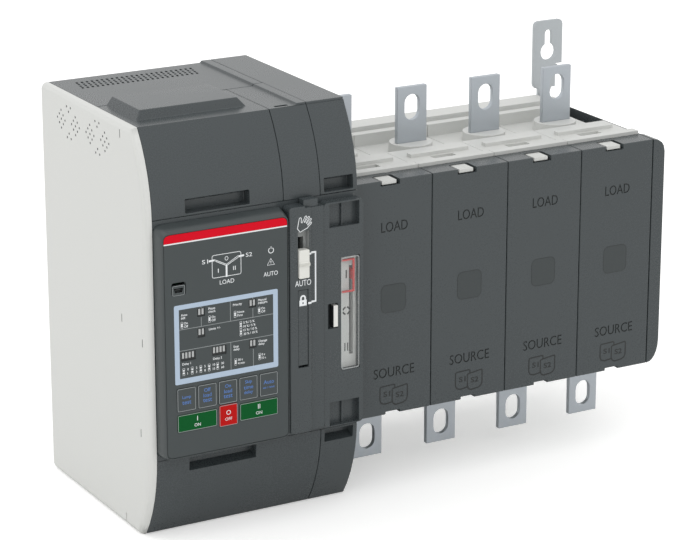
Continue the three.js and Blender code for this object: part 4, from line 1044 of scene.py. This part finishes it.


# ---- pole covers --------------------------------------------------------------------------
# A dark cover snaps over the front of each pole. The words for the load above and for the
# sources below are sunk into it, with a small square pad between them.

# The floors and walls of the sunk letters are painted darker than the cover: painted shade in the
# recesses.
sunk_shade_plastic = moulded("sunk_shade_plastic", (36, 40, 40), spread=0.03, grain=1100, rough=(0.55, 0.65))
pad_plastic = moulded("pad_plastic", (55, 61, 62), spread=0.03, grain=1100, rough=(0.4, 0.5))
mark_ink = moulded("mark_ink", (26, 29, 29), spread=0.03, grain=1100, rough=(0.5, 0.6))
cover_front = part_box("pole_cover_1")[0].y / MM
sunk_depth = 0.45
for number in range(1, pole_count + 1):
    node = f"pole_cover_{number}"
    cover = cad_copy(node, f"{node}_moulded")
    round_outline(cover, 1, cover_front * MM, 0.9, segments=3)
    low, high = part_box(node)
    middle_x = (low.x + high.x) / 2 / MM
    soften_edges(cover, 0.35)
    finish_piece(cover, dark_plastic)
    cover.data.materials.append(sunk_shade_plastic)
    text_front = cover_front + 0.05
    texts = [
        lettering("LOAD", middle_x + 0.6, 54.6, 7.6, text_front, 22.2, depth=2 * sunk_depth),
        lettering("SOURCE", middle_x + 0.8, -56.6, 7.6, text_front, 34.4, depth=2 * sunk_depth),
    ]
    letters = joined("letters", texts)
    letters.data.materials.clear()
    letters.data.materials.append(sunk_shade_plastic)
    cut_with(cover, letters, "TRANSFER")
    shade(cover)
    shield_x = middle_x - 11.0
    shield_lines = [
        [(0, -1.6), (0, -12.6), (1.1, -15.4), (4.2, -16.6), (10.6, -15.6)],
        [(0, -1.6), (0.8, -0.6), (11.6, 0), (12.6, -0.8), (12.6, -3.2)],
        [(10.4, -4.2), (10.4, -14.6), (11.4, -17.4), (13.6, -18.7), (20.0, -17.8), (22.4, -16.2),
         (23.3, -13.6), (23.3, -2.6), (22.7, -1.8), (11.6, -3.6), (10.4, -4.2)],
    ]
    shields = drawn_lines(
        f"shields_{number}",
        [[(shield_x + x, -66.8 + 0.86 * z) for x, z in line] for line in shield_lines],
        1.05, cover_front - INK / 4,
    )
    small = [
        lettering("S1", shield_x + 5.9, -73.4, 4.2, cover_front, 5.9, bold=0.02),
        lettering("S2", shield_x + 16.8, -75.4, 4.2, cover_front, 6.8, bold=0.02),
    ]
    shields = joined(f"cover_marks_{number}", [shields, *small])
    finish_piece(shields, mark_ink)
    bed = block(
        f"pad_bed_{number}", (middle_x - 11.4, middle_x + 11.4),
        (cover_front - 0.01, cover_front + 0.8), (-16, 13),
    )
    finish_piece(bed, dark_plastic)
    pad = block(
        f"cover_pad_{number}", (middle_x - 10.2, middle_x + 10.2),
        (cover_front - 0.05, cover_front + 0.3), (-10.4, 10.4),
    )
    round_corners(pad, 4.2, 6)
    shade(pad)
    finish_piece(pad, pad_plastic)
    # A dark drawn line round the pad is painted shade for a groove; no groove is cut into the cover.
    groove_shade = drawn_lines(
        f"pad_groove_shade_{number}",
        [rounded_line(middle_x - 10.3, middle_x + 10.3, -10.5, 10.5, 4.2)],
        0.45, cover_front - 0.05,
    )
    finish_piece(groove_shade, sunk_shade_plastic)


# ---- terminals ----------------------------------------------------------------------------
# Each pole has a load terminal above and two source terminals below: flat copper bars,
# tin plated, sheared to length, each with one long hole for a bolt.

tinned_copper = metal(
    "tinned_copper", (184, 190, 196), (500, 500, 900), spread=0.05, rough=(0.34, 0.46),
    Metallic=0.85,
)
for number in range(1, pole_count + 1):
    for kind in ("load", "source1", "source2"):
        node = f"{kind}_terminal_{number}"
        terminal = cad_copy(node, f"{node}_plated")
        low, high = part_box(node)
        for vertex in terminal.data.vertices:
            for level in (low.y, high.y):
                if abs(vertex.co.y - level) < 0.3 * MM:
                    vertex.co.y = level
        edit_mode(terminal)
        bpy.ops.mesh.select_all(action="SELECT")
        bpy.ops.mesh.dissolve_degenerate(threshold=0.001 * MM)
        bpy.ops.mesh.remove_doubles(threshold=0.002 * MM)
        bpy.ops.mesh.dissolve_limited(angle_limit=math.radians(0.4))
        bpy.ops.mesh.quads_convert_to_tris(quad_method="BEAUTY", ngon_method="BEAUTY")
        object_mode()
        round_edges(terminal, 0.4)
        finish_piece(terminal, tinned_copper)


# ---- end cover and mounting plate ---------------------------------------------------------
# The end cover closes the row on the right. Behind everything a zinc-plated steel plate
# carries the poles, with keyholes in its feet for the mounting screws.

end_cover = cad_copy("end_cover", "end_cover_moulded")
round_edges(end_cover, 0.5)
finish_piece(end_cover, dark_plastic)

plated_steel = metal(
    "plated_steel", (182, 187, 190), (260, 260, 260), spread=0.06, rough=(0.32, 0.46),
    Metallic=0.85,
)
plate = cad_copy("mounting_plate", "mounting_plate_plated")
round_edges(plate, 0.3)
finish_piece(plate, plated_steel)


# ---- parts inside the mechanism -----------------------------------------------------------
# Inside are the steel frame and back plate, the motor with its pinion, the gear and shaft
# that turn the contact rotors, and the control board behind the controller's face.

machined_steel = metal(
    "machined_steel", (158, 162, 165), (1200, 300, 300), rough=(0.25, 0.38), Metallic=1.0
)
contact_copper = metal(
    "contact_copper", (190, 122, 84), (700, 300, 300), rough=(0.28, 0.4), Metallic=1.0
)
motor_enamel = moulded("motor_enamel", (40, 42, 43), spread=0.06, grain=700, rough=(0.35, 0.45))
board_green = moulded("board_green", (24, 92, 58), spread=0.08, patch=60, grain=1800, rough=(0.3, 0.4))
inner_finishes = {
    "mechanism_frame": plated_steel, "mechanism_back": plated_steel, "drive_motor": motor_enamel,
    "motor_pinion": machined_steel, "drive_gear": machined_steel, "main_shaft": machined_steel,
    "control_board": board_green,
}
for number in range(1, pole_count + 1):
    inner_finishes[f"contact_rotor_{number}"] = contact_copper
for node, material in inner_finishes.items():
    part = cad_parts[node]
    part.data.materials.clear()
    part.data.materials.append(material)
